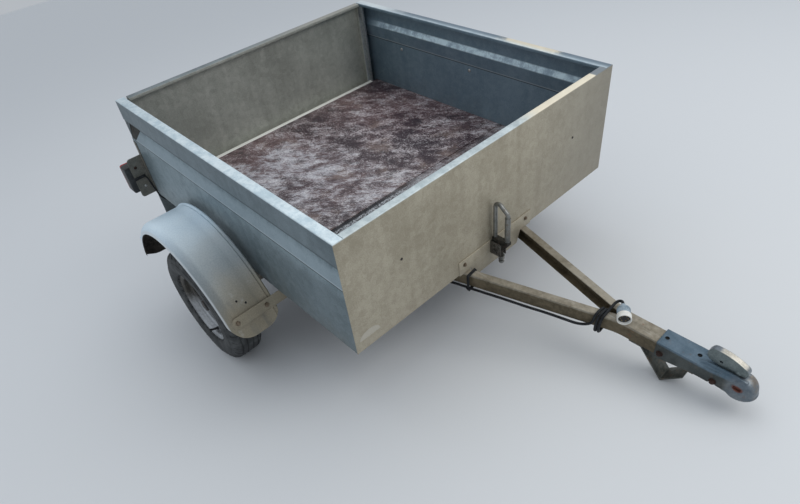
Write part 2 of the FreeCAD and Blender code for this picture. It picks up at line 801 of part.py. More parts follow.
def section_at(x, half_low, low, half_high, high):
    """Closed wire across the trailer, narrower or wider above than below."""
    corners = [
        Vector(x, -half_low, low),
        Vector(x, half_low, low),
        Vector(x, half_high, high),
        Vector(x, -half_high, high),
    ]
    return Part.makePolygon(corners + corners[:1])


def coupling_head():
    half = ARM_NOSE_HALF + COUPLING_WALL
    cheek_foot = CHEEK_EDGE[-1][1]
    outline = list(CHEEK_EDGE) + [(NECK_X, COUPLING_TOP), (COUPLING_REAR_X, COUPLING_TOP)]
    nose_radius = BALL_RADIUS + NOSE_WALL
    ball = Vector(BALL_X, 0, BALL_Z)
    rear_section = section_at(NECK_X, half, cheek_foot, half, COUPLING_TOP)
    front_section = section_at(BALL_X, nose_radius, NOSE_RIM_Z, nose_radius / 2, BALL_Z + nose_radius * 0.85)
    rim = Part.makeCone(nose_radius + NOSE_LIP, nose_radius, 2 * NOSE_LIP, Vector(BALL_X, 0, NOSE_RIM_Z))
    hump = Part.makeLoft([
        section_at(HUMP_REAR_X, HUMP_HALF, 0, HUMP_HALF, COUPLING_TOP + 1),
        section_at(HUMP_REAR_X + HUMP_TOP, HUMP_HALF, 0, HUMP_HALF - HUMP_TAPER, HUMP_TOP - 2),
        section_at(BALL_X - HUMP_TOP, HUMP_HALF, 0, HUMP_HALF - HUMP_TAPER, HUMP_TOP),
        section_at(HUMP_FRONT_X, HUMP_HALF, 0, HUMP_HALF - HUMP_TAPER, BALL_Z + nose_radius - 2),
    ], True, True)
    # The lever lies in a slot through the hump, above the closed dome.
    lever_half = LEVER_WIDTH / 2 + LEVER_GAP
    slot = box(HUMP_REAR_X - 1, HUMP_FRONT_X + 1, -lever_half, lever_half, COUPLING_TOP, HUMP_TOP + 1)
    outer = joined([
        prism(outline, "xz", -half, half),
        Part.makeLoft([rear_section, front_section], True),
        Part.makeSphere(nose_radius, ball),
        rim,
        hump.cut(slot),
    ])
    bore = BALL_RADIUS + SOCKET_GAP
    reach = 2 * nose_radius
    ceiling = COUPLING_TOP - COUPLING_WALL
    cuts = [
        box(BALL_X - reach, BALL_X + reach, -reach, reach, NOSE_RIM_Z - reach, NOSE_RIM_Z).cut(
            box(BALL_X - reach, NECK_X + 1, -reach, reach, NOSE_RIM_Z - reach, NOSE_RIM_Z)),
        box(COUPLING_REAR_X - 1, NECK_X - COUPLING_WALL, -ARM_NOSE_HALF, ARM_NOSE_HALF, -reach, ceiling),
        Part.makeSphere(bore, ball),
        Part.makeCylinder(bore, BALL_Z - NOSE_RIM_Z + 1, Vector(BALL_X, 0, NOSE_RIM_Z - 1)),
        box(NECK_X - COUPLING_WALL - 1, BALL_X, -THROAT_HALF, THROAT_HALF, -reach, ceiling),
    ]
    for x in TOP_HOLES:
        cuts.append(cylinder(TOP_HOLE_RADIUS, Vector(x, 0, 0), Vector(x, 0, HUMP_TOP)))
    for cut in cuts:
        outer = outer.cut(cut)
    return outer


def coupling_lever():
    """Pressed handle of the coupling, an upright oval folded over from both sides."""
    half = LEVER_WIDTH / 2
    outline = [(BALL_X + ahead, z) for ahead, z in LEVER_OUTLINE]
    outside = arc_prism(outline, "xz", -half, half)
    inner_half = half - LEVER_SHEET
    hollow_rear, hollow_front = LEVER_HOLLOW
    inside = box(BALL_X + hollow_rear, BALL_X + hollow_front, -inner_half, inner_half, 0, LEVER_HOLLOW_TOP)
    keyhole_start = Vector(BALL_X + KEYHOLE_AHEAD, -half - 1, KEYHOLE_Z)
    keyhole_end = Vector(BALL_X + KEYHOLE_AHEAD, half + 1, KEYHOLE_Z)
    keyhole = cylinder(KEYHOLE_RADIUS, keyhole_start, keyhole_end)
    pivot_start = Vector(BALL_X + PIVOT_AHEAD, -half - LEVER_GAP, PIVOT_Z)
    pivot_end = Vector(BALL_X + PIVOT_AHEAD, half + LEVER_GAP, PIVOT_Z)
    pivot = cylinder(PIVOT_RADIUS, pivot_start, pivot_end)
    return joined([outside.cut(inside).cut(keyhole), pivot])


nodes["coupling_head"] = coupling_head()
nodes["coupling_lever"] = coupling_lever()


def parking_foot():
    top = -SEAT_GAP - ARM_HEIGHT
    profile = [
        (FOOT_REAR_X - FOOT_SEAT, top - FOOT_SHEET),
        (FOOT_REAR_X, top - FOOT_SHEET),
        (FOOT_X, FOOT_Z),
        (FOOT_FRONT_X, FOOT_FRONT_Z),
    ]
    return prism(folded(profile, FOOT_SHEET), "xz", -FOOT_WIDTH / 2, FOOT_WIDTH / 2)


nodes["parking_foot"] = parking_foot()

# Front latch: a plate on the tub with a tongue between the arms, and the pull handle


def latch_plate():
    half = LATCH_PLATE_WIDTH / 2
    tongue_half = arm_outer_y(FRONT) - ARM_FLANGE - RUNNING_GAP
    outline = [
        (-half, 0),
        (-tongue_half, 0),
        (-tongue_half + TONGUE_SLANT, -LATCH_TONGUE),
        (tongue_half - TONGUE_SLANT, -LATCH_TONGUE),
        (tongue_half, 0),
        (half, 0),
        (half, LATCH_PLATE_TOP),
        (-half, LATCH_PLATE_TOP),
    ]
    return prism(outline, "yz", FRONT, FRONT + LATCH_PLATE_SHEET)


def latch_bracket():
    """Two cheeks with their back on the plate, between which the pawl turns."""
    back = FRONT + LATCH_PLATE_SHEET
    profile = [
        (BRACKET_FRONT_X, HANDLE_Y - BRACKET_HALF),
        (back, HANDLE_Y - BRACKET_HALF),
        (back, HANDLE_Y + BRACKET_HALF),
        (BRACKET_FRONT_X, HANDLE_Y + BRACKET_HALF),
    ]
    return prism(folded(profile, -LATCH_PLATE_SHEET), "xy", BRACKET_LOW, BRACKET_HIGH)


def latch_handle():
    """Pull loop in the trailer's lengthwise plane, on the pawl between the bracket's cheeks."""
    back = FRONT + 2 * LATCH_PLATE_SHEET
    corners = [
        Vector(HANDLE_BACK_X, HANDLE_Y, PAWL_FOOT),
        Vector(HANDLE_BACK_X, HANDLE_Y, HANDLE_TOP),
        Vector(HANDLE_FRONT_X, HANDLE_Y, HANDLE_SHOULDER),
        Vector(HANDLE_FRONT_X, HANDLE_Y, PAWL_TOP),
    ]
    pawl = prism([
        (back, PAWL_FOOT),
        (BRACKET_FRONT_X, PAWL_FOOT),
        (HANDLE_FRONT_X + HANDLE_GRIP, PAWL_TOP - 10.0),
        (HANDLE_FRONT_X + HANDLE_GRIP, PAWL_TOP),
        (back, PAWL_TOP),
    ], "xz", HANDLE_Y - PAWL_HALF, HANDLE_Y + PAWL_HALF)
    return joined([
        pawl,
        cylinder(HANDLE_BAR, corners[0], corners[1]),
        Part.makeSphere(HANDLE_BAR, corners[1]),
        cylinder(HANDLE_BAR, corners[1], corners[2]),
        Part.makeSphere(HANDLE_GRIP, corners[2]),
        cylinder(HANDLE_GRIP, corners[2], corners[3]),
    ])


def latch_rod():
    """Spring rod from the pawl down past the latch plate's tongue, with its nut."""
    nut_top = BRACKET_LOW - 1.0
    rod = cylinder(ROD_RADIUS, Vector(ROD_X, HANDLE_Y, PAWL_FOOT), Vector(ROD_X, HANDLE_Y, ROD_FOOT))
    nut_foot = nut_top - NUT_HEIGHT
    nut = cylinder(NUT_RADIUS, Vector(ROD_X, HANDLE_Y, nut_top), Vector(ROD_X, HANDLE_Y, nut_foot))
    return joined([rod, nut])


nodes["latch_plate"] = latch_plate()
nodes["latch_bracket"] = latch_bracket()
nodes["latch_handle"] = latch_handle()
nodes["latch_rod"] = latch_rod()

# Wheels


def turned(profile, side):
    """Revolve (distance from the wheel's middle plane, radius) points round the axle."""
    corners = [Vector(WHEEL_X, side * (WHEEL_Y + a), WHEEL_Z + r) for a, r in profile]
    face = Part.Face(Part.makePolygon(corners + corners[:1]))
    return face.revolve(Vector(WHEEL_X, 0, WHEEL_Z), Vector(0, 1, 0), 360)


def tyre(side):
    half = TYRE_WIDTH / 2
    # One half of the section, from the bead out over the shoulder: inset from the widest, radius
    section = (
        (half - TYRE_BEAD, RIM_RADIUS - RIM_SEAT - 0.8),
        (0.0, RIM_RADIUS + 30.0),
        (7.0, TYRE_RADIUS - 13.0),
        (26.0, TYRE_RADIUS),
    )
    profile = [(inset - half, radius) for inset, radius in section]
    profile += [(half - inset, radius) for inset, radius in section[::-1]]
    return turned(profile, side)


def rim(side):
    bead = RIM_WIDTH / 2
    seat = RIM_RADIUS - RIM_SEAT
    outline = [
        (bead, RIM_RADIUS),
        (bead, RIM_RADIUS - 6.0),
        (bead - 3.0, seat),
        (bead - 14.0, seat - 3.0),
        (bead - 18.0, seat - 18.0),
        (-bead + 18.0, seat - 18.0),
        (-bead + 14.0, seat - 3.0),
        (-bead + 3.0, seat),
        (-bead, RIM_RADIUS - 6.0),
        (-bead, RIM_RADIUS),
    ]
    barrel = turned(folded(outline, RIM_SHEET), side)
    disc = turned([
        (4.0, seat - 15.0),
        (14.0, seat - 26.0),
        (18.0, HUB_RADIUS + 24.0),
        (8.0, HUB_RADIUS + 10.0),
        (8.0, STUB_RADIUS + 8.0),
        (5.0, STUB_RADIUS + 8.0),
        (5.0, HUB_RADIUS + 11.0),
        (15.0, HUB_RADIUS + 25.0),
        (11.0, seat - 27.0),
        (1.0, seat - 15.0),
    ], side)
    return joined([barrel, disc])


def hub(side):
    bore = STUB_RADIUS + PIN_GAP
    return turned([
        (-36.0, bore),
        (28.0, bore),
        (28.0, 0.0),
        (34.0, 0.0),
        (34.0, STUB_RADIUS + 4.0),
        (8.0, STUB_RADIUS + 8.0),
        (5.0, STUB_RADIUS + 8.0),
        (5.0, HUB_RADIUS + 8.0),
        (-3.0, HUB_RADIUS + 8.0),
        (-3.0, HUB_RADIUS - 6.0),
        (-36.0, HUB_RADIUS - 8.0),
    ], side)


for name, side in SIDES:
    nodes["tyre_" + name] = tyre(side)
    nodes["rim_" + name] = rim(side)
    nodes["hub_" + name] = hub(side)

# Cable tied to the right arm, wound round it near the nose, with its plug laid on the drawbar

CABLE_RADIUS = CABLE_DIAMETER / 2
ARM_TOP = -SEAT_GAP
ARM_BOTTOM = ARM_TOP - ARM_HEIGHT
# Cable points beside the right arm: place along the trailer, distance outside the arm, height
RUN_POINTS = (
    (SLEEVE_X + SLEEVE_LENGTH, 4.4, -44.4),
    (541.0, 4.2, -44.6),
    (586.0, 4.6, -45.2),
    (640.0, 4.2, -44.6),
    (702.0, 5.0, -45.6),
    (763.0, 4.4, -44.8),
    (806.0, 5.2, -46.0),
    (842.0, 5.0, -45.2),
)
# Cable from the winding over the left arm and round into the back of the plug
LEAD_POINTS = (
    (881.6, 7.0, LEAD_RISE),
    (883.6, 15.5, 6.8),
    (889.4, 22.4, 10.4),
    (897.6, 24.8, 14.2),
)


def cable(points):
    """Tube whose straight runs are joined by arcs as large as the shorter run beside each point allows."""
    edges = []
    start = points[0]
    radii = []
    for before, corner, after in zip(points[:-2], points[1:-1], points[2:]):
        way_in = (corner - before).normalize()
        way_out = (after - corner).normalize()
        turn = way_in.getAngle(way_out)
        shorter = min((corner - before).Length, (after - corner).Length)
        cut = 0.45 * shorter
        radius = cut / math.tan(turn / 2)
        radii.append(round(radius, 1))
        arc_start = corner - way_in * cut
        arc_end = corner + way_out * cut
        inward = (way_out - way_in).normalize()
        centre_distance = radius / math.cos(turn / 2)
        arc_middle = corner + inward * (centre_distance - radius)
        edges.append(Part.LineSegment(start, arc_start).toShape())
        edges.append(Part.Arc(arc_start, arc_middle, arc_end).toShape())
        start = arc_end
    edges.append(Part.LineSegment(start, points[-1]).toShape())
    path = Part.Wire(edges)
    first = (points[1] - points[0]).normalize()
    ring = Part.Wire(Part.makeCircle(CABLE_RADIUS, points[0], first))
    tube = path.makePipeShell([ring], True, False)
    expected = math.pi * CABLE_RADIUS ** 2 * path.Length
    print("cable", round(path.Length), "mm, volume ratio", round(tube.Volume / expected, 4), "radii", radii)
    return tube


def beside_arm(x, out, z):
    return Vector(x, -arm_outer_y(x) - out, z)


RUN_START = beside_arm(*RUN_POINTS[0])
RUN_BEND = beside_arm(*RUN_POINTS[-1])
RUN_END = Vector(WINDING_X, RUN_BEND.y, RUN_BEND.z)


def cable_sleeve():
    way = (beside_arm(*RUN_POINTS[1]) - RUN_START).normalize()
    return cylinder(SLEEVE_RADIUS, RUN_START - way * SLEEVE_LENGTH, RUN_START)


def cable_tie():
    outside = arm_outer_y(TIE_X) + TIE_SLACK
    inside = arm_outer_y(TIE_X + TIE_WIDTH) - ARM_FLANGE / math.cos(math.radians(ARM_SLANT)) - 1.2
    low = ARM_BOTTOM - TIE_SLACK
    high = ARM_TOP + 0.6
    hole = box(TIE_X - 1, TIE_X + TIE_WIDTH + 1, -outside, -inside, low, high)
    band = box(TIE_X, TIE_X + TIE_WIDTH, -outside - TIE_WALL, -inside + TIE_WALL, low - TIE_WALL,
               high + TIE_WALL)
    return band.cut(hole)


WINDING_END = WINDING_X + WINDING_LENGTH
WINDING_OUTSIDE = arm_outer_y(WINDING_X) + 0.5
WINDING_INSIDE = arm_outer_y(WINDING_END) - ARM_FLANGE - 1.6


def cable_winding():
    """Outer shape of the turns round the right arm, wider below where loose turns hang."""
    wall = WINDING_WALL
    outline = [
        (-WINDING_INSIDE + wall, ARM_TOP + wall),
        (-WINDING_OUTSIDE - wall, ARM_TOP + wall),
        (-WINDING_OUTSIDE - 2 * wall, -30.0),
        (-WINDING_OUTSIDE - 1.6 * wall, WINDING_FOOT_Z),
        (-WINDING_OUTSIDE + wall, WINDING_FOOT_Z),
        (-WINDING_INSIDE + wall, ARM_BOTTOM - wall),
    ]
    hole = box(WINDING_X - 1, WINDING_END + 1, -WINDING_OUTSIDE, -WINDING_INSIDE,
               ARM_BOTTOM - 0.5, ARM_TOP + 0.5)
    return prism(outline, "yz", WINDING_X, WINDING_END).cut(hole)


plug_turn = math.radians(PLUG_TURN)
PLUG_AXIS = Vector(math.cos(plug_turn), math.sin(plug_turn), 0)
PLUG_BACK = Vector(PLUG_X, PLUG_Y, ARM_TOP + SEAT_GAP + PLUG_RADIUS)
# The lead leaves the winding square to its side and enters the plug along the plug's axis.
LEAD_START = Vector(LEAD_POINTS[0][0], -WINDING_INSIDE + WINDING_WALL, LEAD_RISE)
LEAD_END = [PLUG_BACK - PLUG_AXIS * LEAD_TAIL, PLUG_BACK]


def plug():
    end = PLUG_BACK + PLUG_AXIS * PLUG_LENGTH
    body = cylinder(PLUG_RADIUS, PLUG_BACK, end)
    socket = cylinder(PLUG_RADIUS - PLUG_WALL, end - PLUG_AXIS * PLUG_SOCKET, end)
    return body.cut(socket)


nodes["cable_sleeve"] = cable_sleeve()
nodes["cable_tie"] = cable_tie()
nodes["cable_run"] = cable([beside_arm(*point) for point in RUN_POINTS] + [RUN_END])
nodes["cable_winding"] = cable_winding()
nodes["cable_lead"] = cable([LEAD_START] + [Vector(*point) for point in LEAD_POINTS] + LEAD_END)
nodes["cable_plug"] = plug()

# Park: pitch about the axle until the foot is as low as the tyres, then stand it on Z = 0

reach_x = FOOT_X - WHEEL_X
reach_z = FOOT_Z - WHEEL_Z
PITCH = math.degrees(math.asin(TYRE_RADIUS / math.hypot(reach_x, reach_z)) + math.atan2(reach_z, reach_x))
AXLE = Vector(WHEEL_X, 0, WHEEL_Z)
park = Placement(Vector(0, 0, TYRE_RADIUS - WHEEL_Z), Rotation(Vector(0, 1, 0), PITCH), AXLE)

CABLE_NODES = ("cable_run", "cable_winding", "cable_lead", "cable_plug")
for shape in nodes.values():
    shape.Placement = park.multiply(shape.Placement)
box_of_all = FreeCAD.BoundBox()
for name, shape in nodes.items():
    if name not in CABLE_NODES:
        box_of_all.add(shape.optimalBoundingBox(False))
centre_x = (box_of_all.XMin + box_of_all.XMax) / 2
shift = Placement(Vector(-centre_x, 0, 0), Rotation())
PARKED = shift.multiply(park)
for shape in nodes.values():
    shape.Placement = shift.multiply(shape.Placement)

for name, shape in nodes.items():
    shape.exportStep("parts/" + name + ".step")
    print(name, len(shape.Solids), shape.isValid(), round(shape.Volume / 1000, 1))
print("pitch", PITCH, "box", box_of_all, "nodes", len(nodes))
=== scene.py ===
# %% [markdown]
# A small galvanised tipping trailer, parked on its folded foot.
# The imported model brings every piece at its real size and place, and this script gives it its looks:
# rolled and rounded sheet metal, moulded tyres, a loose lamp cable, bolts, wear and weather.
# The frame comes first, because everything else is placed by it.

# %% Load the frame
import json
import math
from contextlib import contextmanager
from functools import cached_property

import bmesh
import bpy
from mathutils import Matrix, Vector


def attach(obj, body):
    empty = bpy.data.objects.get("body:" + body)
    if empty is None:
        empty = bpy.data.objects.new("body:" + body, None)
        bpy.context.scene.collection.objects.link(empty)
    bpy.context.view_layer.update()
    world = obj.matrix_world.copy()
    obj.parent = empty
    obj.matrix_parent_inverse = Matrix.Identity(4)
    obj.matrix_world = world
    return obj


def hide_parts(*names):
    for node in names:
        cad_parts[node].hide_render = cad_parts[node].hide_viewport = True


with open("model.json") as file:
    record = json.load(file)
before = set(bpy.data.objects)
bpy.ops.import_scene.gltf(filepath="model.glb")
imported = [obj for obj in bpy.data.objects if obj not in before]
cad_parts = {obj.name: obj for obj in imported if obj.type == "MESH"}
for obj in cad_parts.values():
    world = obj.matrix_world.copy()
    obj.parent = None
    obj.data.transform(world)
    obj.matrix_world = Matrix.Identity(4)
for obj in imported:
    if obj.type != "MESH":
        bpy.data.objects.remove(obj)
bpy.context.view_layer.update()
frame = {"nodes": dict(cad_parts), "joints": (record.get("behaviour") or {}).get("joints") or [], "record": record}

# %% [markdown]
# The trailer was drawn level and is parked nose down, pitched about its axle.
# It is far easier to model a folded panel along straight axes, so every new piece is drawn in the level
# trailer's own frame, with x forward, y to the left and z up from the underside of the tub.
# One matrix then carries it to where the trailer stands.

# %% The level frame
def named(rows, name):
    return next(row for row in rows if row["name"] == name)


AXLE = Vector(named(frame["joints"], "tub_tip")["pos_m"])
FLOOR_NORMAL = named(frame["record"]["mounts"], "load_floor")["axis"]
PITCH = math.atan2(FLOOR_NORMAL[0], FLOOR_NORMAL[2])
AXLE_LEVEL = Vector((-0.050, 0.0, -0.130))
TO_ROW = Matrix.Translation(AXLE) @ Matrix.Rotation(PITCH, 4, "Y") @ Matrix.Translation(-AXLE_LEVEL)
TO_LEVEL = TO_ROW.inverted()
ALONG = Vector((1.0, 0.0, 0.0))
TO_LEFT = Vector((0.0, 1.0, 0.0))
TO_RIGHT = -TO_LEFT
UPWARD = Vector((0.0, 0.0, 1.0))
SIDES = ("right", "left")


def level_box(node):
    """Lowest and highest corner of a node, measured along the level trailer's axes."""
    points = [TO_LEVEL @ vertex.co for vertex in frame["nodes"][node].data.vertices]
    low = Vector([min(point[i] for point in points) for i in range(3)])
    high = Vector([max(point[i] for point in points) for i in range(3)])
    return low, high


tub_low, tub_high = level_box("side_panel_right")
REAR = tub_low.x
FRONT = level_box("front_panel")[1].x
HALF_WIDTH = -tub_low.y
TUB_HEIGHT = tub_high.z
tyre_low, tyre_high = level_box("tyre_right")
TYRE_WIDTH = tyre_high.y - tyre_low.y
WHEEL_Y = -(tyre_high.y + tyre_low.y) / 2
print("pitch", round(math.degrees(PITCH), 3), "tub", REAR, FRONT, HALF_WIDTH, TUB_HEIGHT, "wheel", WHEEL_Y)

# %% [markdown]
# The camera stands where the photographer stood: about a metre above the ground, in front of the
# trailer and to its right, with a wide lens and the camera held at a slant.
# Its place and its turn were worked out from the corners of the tub, so they are given as plain numbers
# in the level frame and carried over like any piece.

# %% Camera
CAMERA_PLACE = Vector((1.3175, -0.9536, 1.0587))
CAMERA_RIGHT = Vector((0.68520, 0.72096, -0.10353))
CAMERA_DOWN = Vector((0.42777, -0.51339, -0.74394))
CAMERA_FORWARD = Vector((-0.58950, 0.46546, -0.66018))
SENSOR = 36.0
LENS = 26.29
SHIFT_Y = 0.0112


def linked(name, data):
    """A new object with this data, in the scene."""
    obj = bpy.data.objects.new(name, data)
    bpy.context.scene.collection.objects.link(obj)
    return obj


camera_data = bpy.data.cameras.new("photographer")
camera_data.sensor_width = SENSOR
camera_data.lens = LENS
camera_data.shift_y = SHIFT_Y
camera_data.clip_start = 0.05
camera = linked("photographer", camera_data)
turn = Matrix((CAMERA_RIGHT, -CAMERA_DOWN, -CAMERA_FORWARD)).transposed().to_4x4()
camera.matrix_world = TO_ROW @ Matrix.Translation(CAMERA_PLACE) @ turn
bpy.context.scene.camera = camera
print("camera", camera.matrix_world.translation)

# %% [markdown]
# Modelling with operators means: add a primitive, go into edit mode, select by place, push and pull,
# come back out. These few helpers keep each step to one line and make sure that nothing else is
# selected, because an operator works on all that is.

# %% Helpers for selecting and changing
DOUBLES = 0.00001
SHARP = 50.0


def alone(obj):
    """Make obj the only selected object, and the active one."""
    bpy.ops.object.select_all(action="DESELECT")
    obj.select_set(True)
    bpy.context.view_layer.objects.active = obj
    return obj


@contextmanager
def editing(obj):
    """Edit mode with all of obj selected, for as long as the block lasts."""
    alone(obj)
    bpy.ops.object.mode_set(mode="EDIT")
    bpy.ops.mesh.select_all(action="SELECT")
    yield
    bpy.ops.object.mode_set(mode="OBJECT")


def select(obj, kind, test):
    """In edit mode, select the edges or faces whose middle passes the test."""
    mesh = bmesh.from_edit_mesh(obj.data)
    bpy.ops.mesh.select_all(action="DESELECT")
    bpy.context.tool_settings.mesh_select_mode = (False, kind == "edges", kind == "faces")
    chosen = 0
    for item in getattr(mesh, kind):
        if test(sum((vertex.co for vertex in item.verts), Vector()) / len(item.verts)):
            item.select_set(True)
            chosen += 1
    mesh.select_flush_mode()
    bmesh.update_edit_mesh(obj.data)
    return chosen


def modified(obj, kind, **settings):
    """Add a modifier with these settings and apply it."""
    alone(obj)
    modifier = obj.modifiers.new(kind.lower(), kind)
    for name, value in settings.items():
        setattr(modifier, name, value)
    bpy.ops.object.modifier_apply(modifier=modifier.name)
    return obj


def eased(obj, width, segments=2, degrees=SHARP):
    """Round the edges sharper than so many degrees; a width of 0 leaves them."""
    if width:
        modified(obj, "BEVEL", width=width, segments=segments, limit_method="ANGLE",
                 angle_limit=math.radians(degrees))
    return obj


def smooth(obj, degrees=32):
    alone(obj)
    bpy.ops.object.shade_smooth_by_angle(angle=math.radians(degrees))
    return obj


def outward(obj):
    """Merge doubles, then turn all faces outwards."""
    with editing(obj):
        bpy.ops.mesh.remove_doubles(threshold=DOUBLES)
        bpy.ops.mesh.normals_make_consistent(inside=False)
    return obj


def freeze(obj):
    """Write the object's place, turn and size into its mesh."""
    alone(obj)
    bpy.ops.object.transform_apply(location=True, rotation=True, scale=True)
    return obj


def merged(name, objects):
    """Join several objects into one mesh."""
    alone(objects[0])
    for obj in objects:
        obj.select_set(True)
    if len(objects) > 1:
        bpy.ops.object.join()
    objects[0].name = name
    return objects[0]


def carved(obj, cutters):
    """Cut the cutters out of obj and throw them away."""
    cutter = merged(obj.name + "_cutter", cutters)
    modified(obj, "BOOLEAN", operation="DIFFERENCE", object=cutter, solver="EXACT")
    bpy.data.objects.remove(cutter)
    return obj


# %% Helpers for making shapes
def added(name, operator, **settings):
    """Add a primitive with nothing else selected, its place and turn written into its mesh."""
    bpy.ops.object.select_all(action="DESELECT")
    operator(**settings)
    obj = bpy.context.active_object
    obj.name = name
    return freeze(obj)


def block(name, low, high, bevel=0.0, segments=2):
    """A box between two corners of the level frame, its edges rounded."""
    low = Vector(low)
    high = Vector(high)
    obj = added(name, bpy.ops.mesh.primitive_cube_add, size=1, location=(low + high) / 2, scale=high - low)
    if bevel:
        modified(obj, "BEVEL", width=bevel, segments=segments, limit_method="NONE")
    return obj


def disc(name, radius, depth, place, axis, sides=32, bevel=0.0, segments=2):
    """A short cylinder round an axis through its middle, its rims rounded."""
    rotation = Vector(axis).to_track_quat("Z", "Y").to_euler()
    obj = added(name, bpy.ops.mesh.primitive_cylinder_add, vertices=sides, radius=radius, depth=depth,
                location=place, rotation=rotation)
    return eased(obj, bevel, segments)


def outline(name, points):
    """A chain of edges through points, closed off by whoever extrudes it."""
    obj = added(name, bpy.ops.mesh.primitive_plane_add, size=1)
    with editing(obj):
        bpy.ops.mesh.delete(type="VERT")
        mesh = bmesh.from_edit_mesh(obj.data)
        chain = [mesh.verts.new(point) for point in points]
        for first, second in zip(chain[:-1], chain[1:]):
            mesh.edges.new((first, second))
        bmesh.update_edit_mesh(obj.data)
    return obj


def bent(points, radius, steps=4):
    """The corners of a folded line, each inner one replaced by an arc of about this radius."""
    points = [Vector(point) for point in points]
    line = [points[0]]
    for before, corner, after in zip(points[:-2], points[1:-1], points[2:]):
        way_in = (before - corner).normalized()
        way_out = (after - corner).normalized()
        half = way_in.angle(way_out) / 2
        room = 0.48 * min((before - corner).length, (after - corner).length)
        reach = min(radius / math.tan(half), room)
        fitted = reach * math.tan(half)
        centre = corner + (way_in + way_out).normalized() * fitted / math.sin(half)
        start = corner + way_in * reach
        end = corner + way_out * reach
        for i in range(steps + 1):
            line.append(centre + (start.lerp(end, i / steps) - centre).normalized() * fitted)
    line.append(points[-1])
    return line


def thickened(points, thickness, across):
    """The line, and back along it at thickness to its left, seen from the tip of across."""
    back = []
    for i, point in enumerate(points):
        ways = [(points[j + 1] - points[j]).normalized() for j in (i - 1, i) if 0 <= j < len(points) - 1]
        mean = sum((across.cross(way) for way in ways), Vector()) / len(ways)
        back.append(point + mean * (thickness / mean.length_squared))
    return list(points) + back[::-1]


def drawn(name, section, way, bevel=0.0003):
    """A closed section drawn out along way, its sharp edges taken off."""
    obj = outline(name, section)
    with editing(obj):
        bpy.ops.mesh.edge_face_add()
        bpy.ops.mesh.select_all(action="SELECT")
        bpy.ops.mesh.extrude_region_move(TRANSFORM_OT_translate={"value": Vector(way)})
    return eased(outward(obj), bevel)


def spun(name, section, centre, degrees=360.0, steps=96, closed=True, axis=TO_LEFT):
    """A chain of points swept round an axis; part of a turn gets its two end faces."""
    obj = outline(name, list(section) + ([section[0]] if closed else []))
    with editing(obj):
        bpy.ops.mesh.spin(steps=steps, angle=math.radians(degrees), center=centre, axis=axis)
        bpy.ops.mesh.select_all(action="SELECT")
        bpy.ops.mesh.remove_doubles(threshold=DOUBLES)
        if degrees < 360.0:
            bpy.ops.mesh.select_all(action="DESELECT")
            bpy.ops.mesh.select_non_manifold(extend=False, use_wire=False, use_multi_face=False,
                                             use_non_contiguous=False, use_verts=False)
            bpy.ops.mesh.edge_face_add()
    return outward(obj)


def laid_along(start, way):
    """Matrix that carries an upright turned piece to start, pointing along way."""
    return Matrix.Translation(start) @ Vector(way).to_track_quat("Z", "Y").to_matrix().to_4x4()


def turned_piece(name, profile, matrix, steps=48):
    """Sweep (radius, height) points in millimetres round an upright axis, then carry the piece over."""
    section = [Vector((radius / 1000, 0.0, height / 1000)) for radius, height in profile]
    obj = spun(name, section, (0.0, 0.0, 0.0), 360.0, steps, False, UPWARD)
    obj.data.transform(matrix)
    return smooth(obj, 40)


def round_bar(name, points, radius):
    """A bent bar of round section through the points, closed at its ends."""
    data = bpy.data.curves.new(name, "CURVE")
    data.dimensions = "3D"
    data.bevel_depth = radius
    data.bevel_resolution = 6
    data.use_fill_caps = True
    line = data.splines.new("POLY")
    line.points.add(len(points) - 1)
    for place, point in zip(line.points, points):
        place.co = (*point, 1.0)
    alone(linked(name, data))
    bpy.ops.object.convert(target="MESH")
    return smooth(bpy.context.active_object, 50)


# %% Helpers for copies and for the finished piece
def copied(node, ending):
    """A copy of a CAD node in the level frame, its faces turned outwards."""
    obj = linked(node + ending, frame["nodes"][node].data.copy())
    obj.data.transform(TO_LEVEL)
    return outward(obj)


def softened(node, bevel=0.0005, segments=2):
    """A copy of a CAD node: loose triangles made faces, edges rounded."""
    obj = copied(node, "_soft")
    with editing(obj):
        bpy.ops.mesh.dissolve_limited(angle_limit=math.radians(1.5))
    return smooth(eased(obj, bevel, segments, 30.0))


def pressed(node, voxel, rounds, faces):
    """A copy of a CAD node remeshed and smoothed, as a casting or a deep pressing is."""
    obj = copied(node, "_pressed")
    modified(obj, "REMESH", mode="VOXEL", voxel_size=voxel)
    modified(obj, "SMOOTH", factor=0.5, iterations=rounds)
    modified(obj, "DECIMATE", ratio=min(1.0, faces / len(obj.data.polygons) / 2))
    return smooth(obj, 60)


def settle(obj, body, material, slot, *nodes):
    """Carry a finished piece from the level frame to the parked trailer, in place of these nodes."""
    freeze(obj)
    obj.data.transform(TO_ROW)
    obj.data.update()
    obj.data.materials.clear()
    obj.data.materials.append(material)
    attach(obj, body)
    if nodes:
        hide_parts(*nodes)
    return obj


def settle_both(right, name, body, material, slot, *nodes):
    """Settle a right-hand piece and its mirror image; {} in a body or node stands for the side."""
    left = right.copy()
    left.data = right.data.copy()
    bpy.context.scene.collection.objects.link(left)
    left.data.transform(Matrix.Scale(-1, 4, TO_LEFT))
    outward(left)
    for obj, side in zip((right, left), SIDES):
        obj.name = name + "_" + side
        settle(obj, body.format(side), material, slot, *(node.format(side) for node in nodes))
    return right, left


print("helpers ready")

# %% [markdown]
# A finish is a small tree of shader nodes. Written as formulas it stays readable: a mask is a number
# that changes over the surface, and 1 - mask or mask * 0.3 adds the Math nodes behind the scenes.
# One method adds every other kind of node, with its settings first and its inputs after them. Paint
# goes on in coats: a first mottled one, and then one cover after another, each where its mask is high.

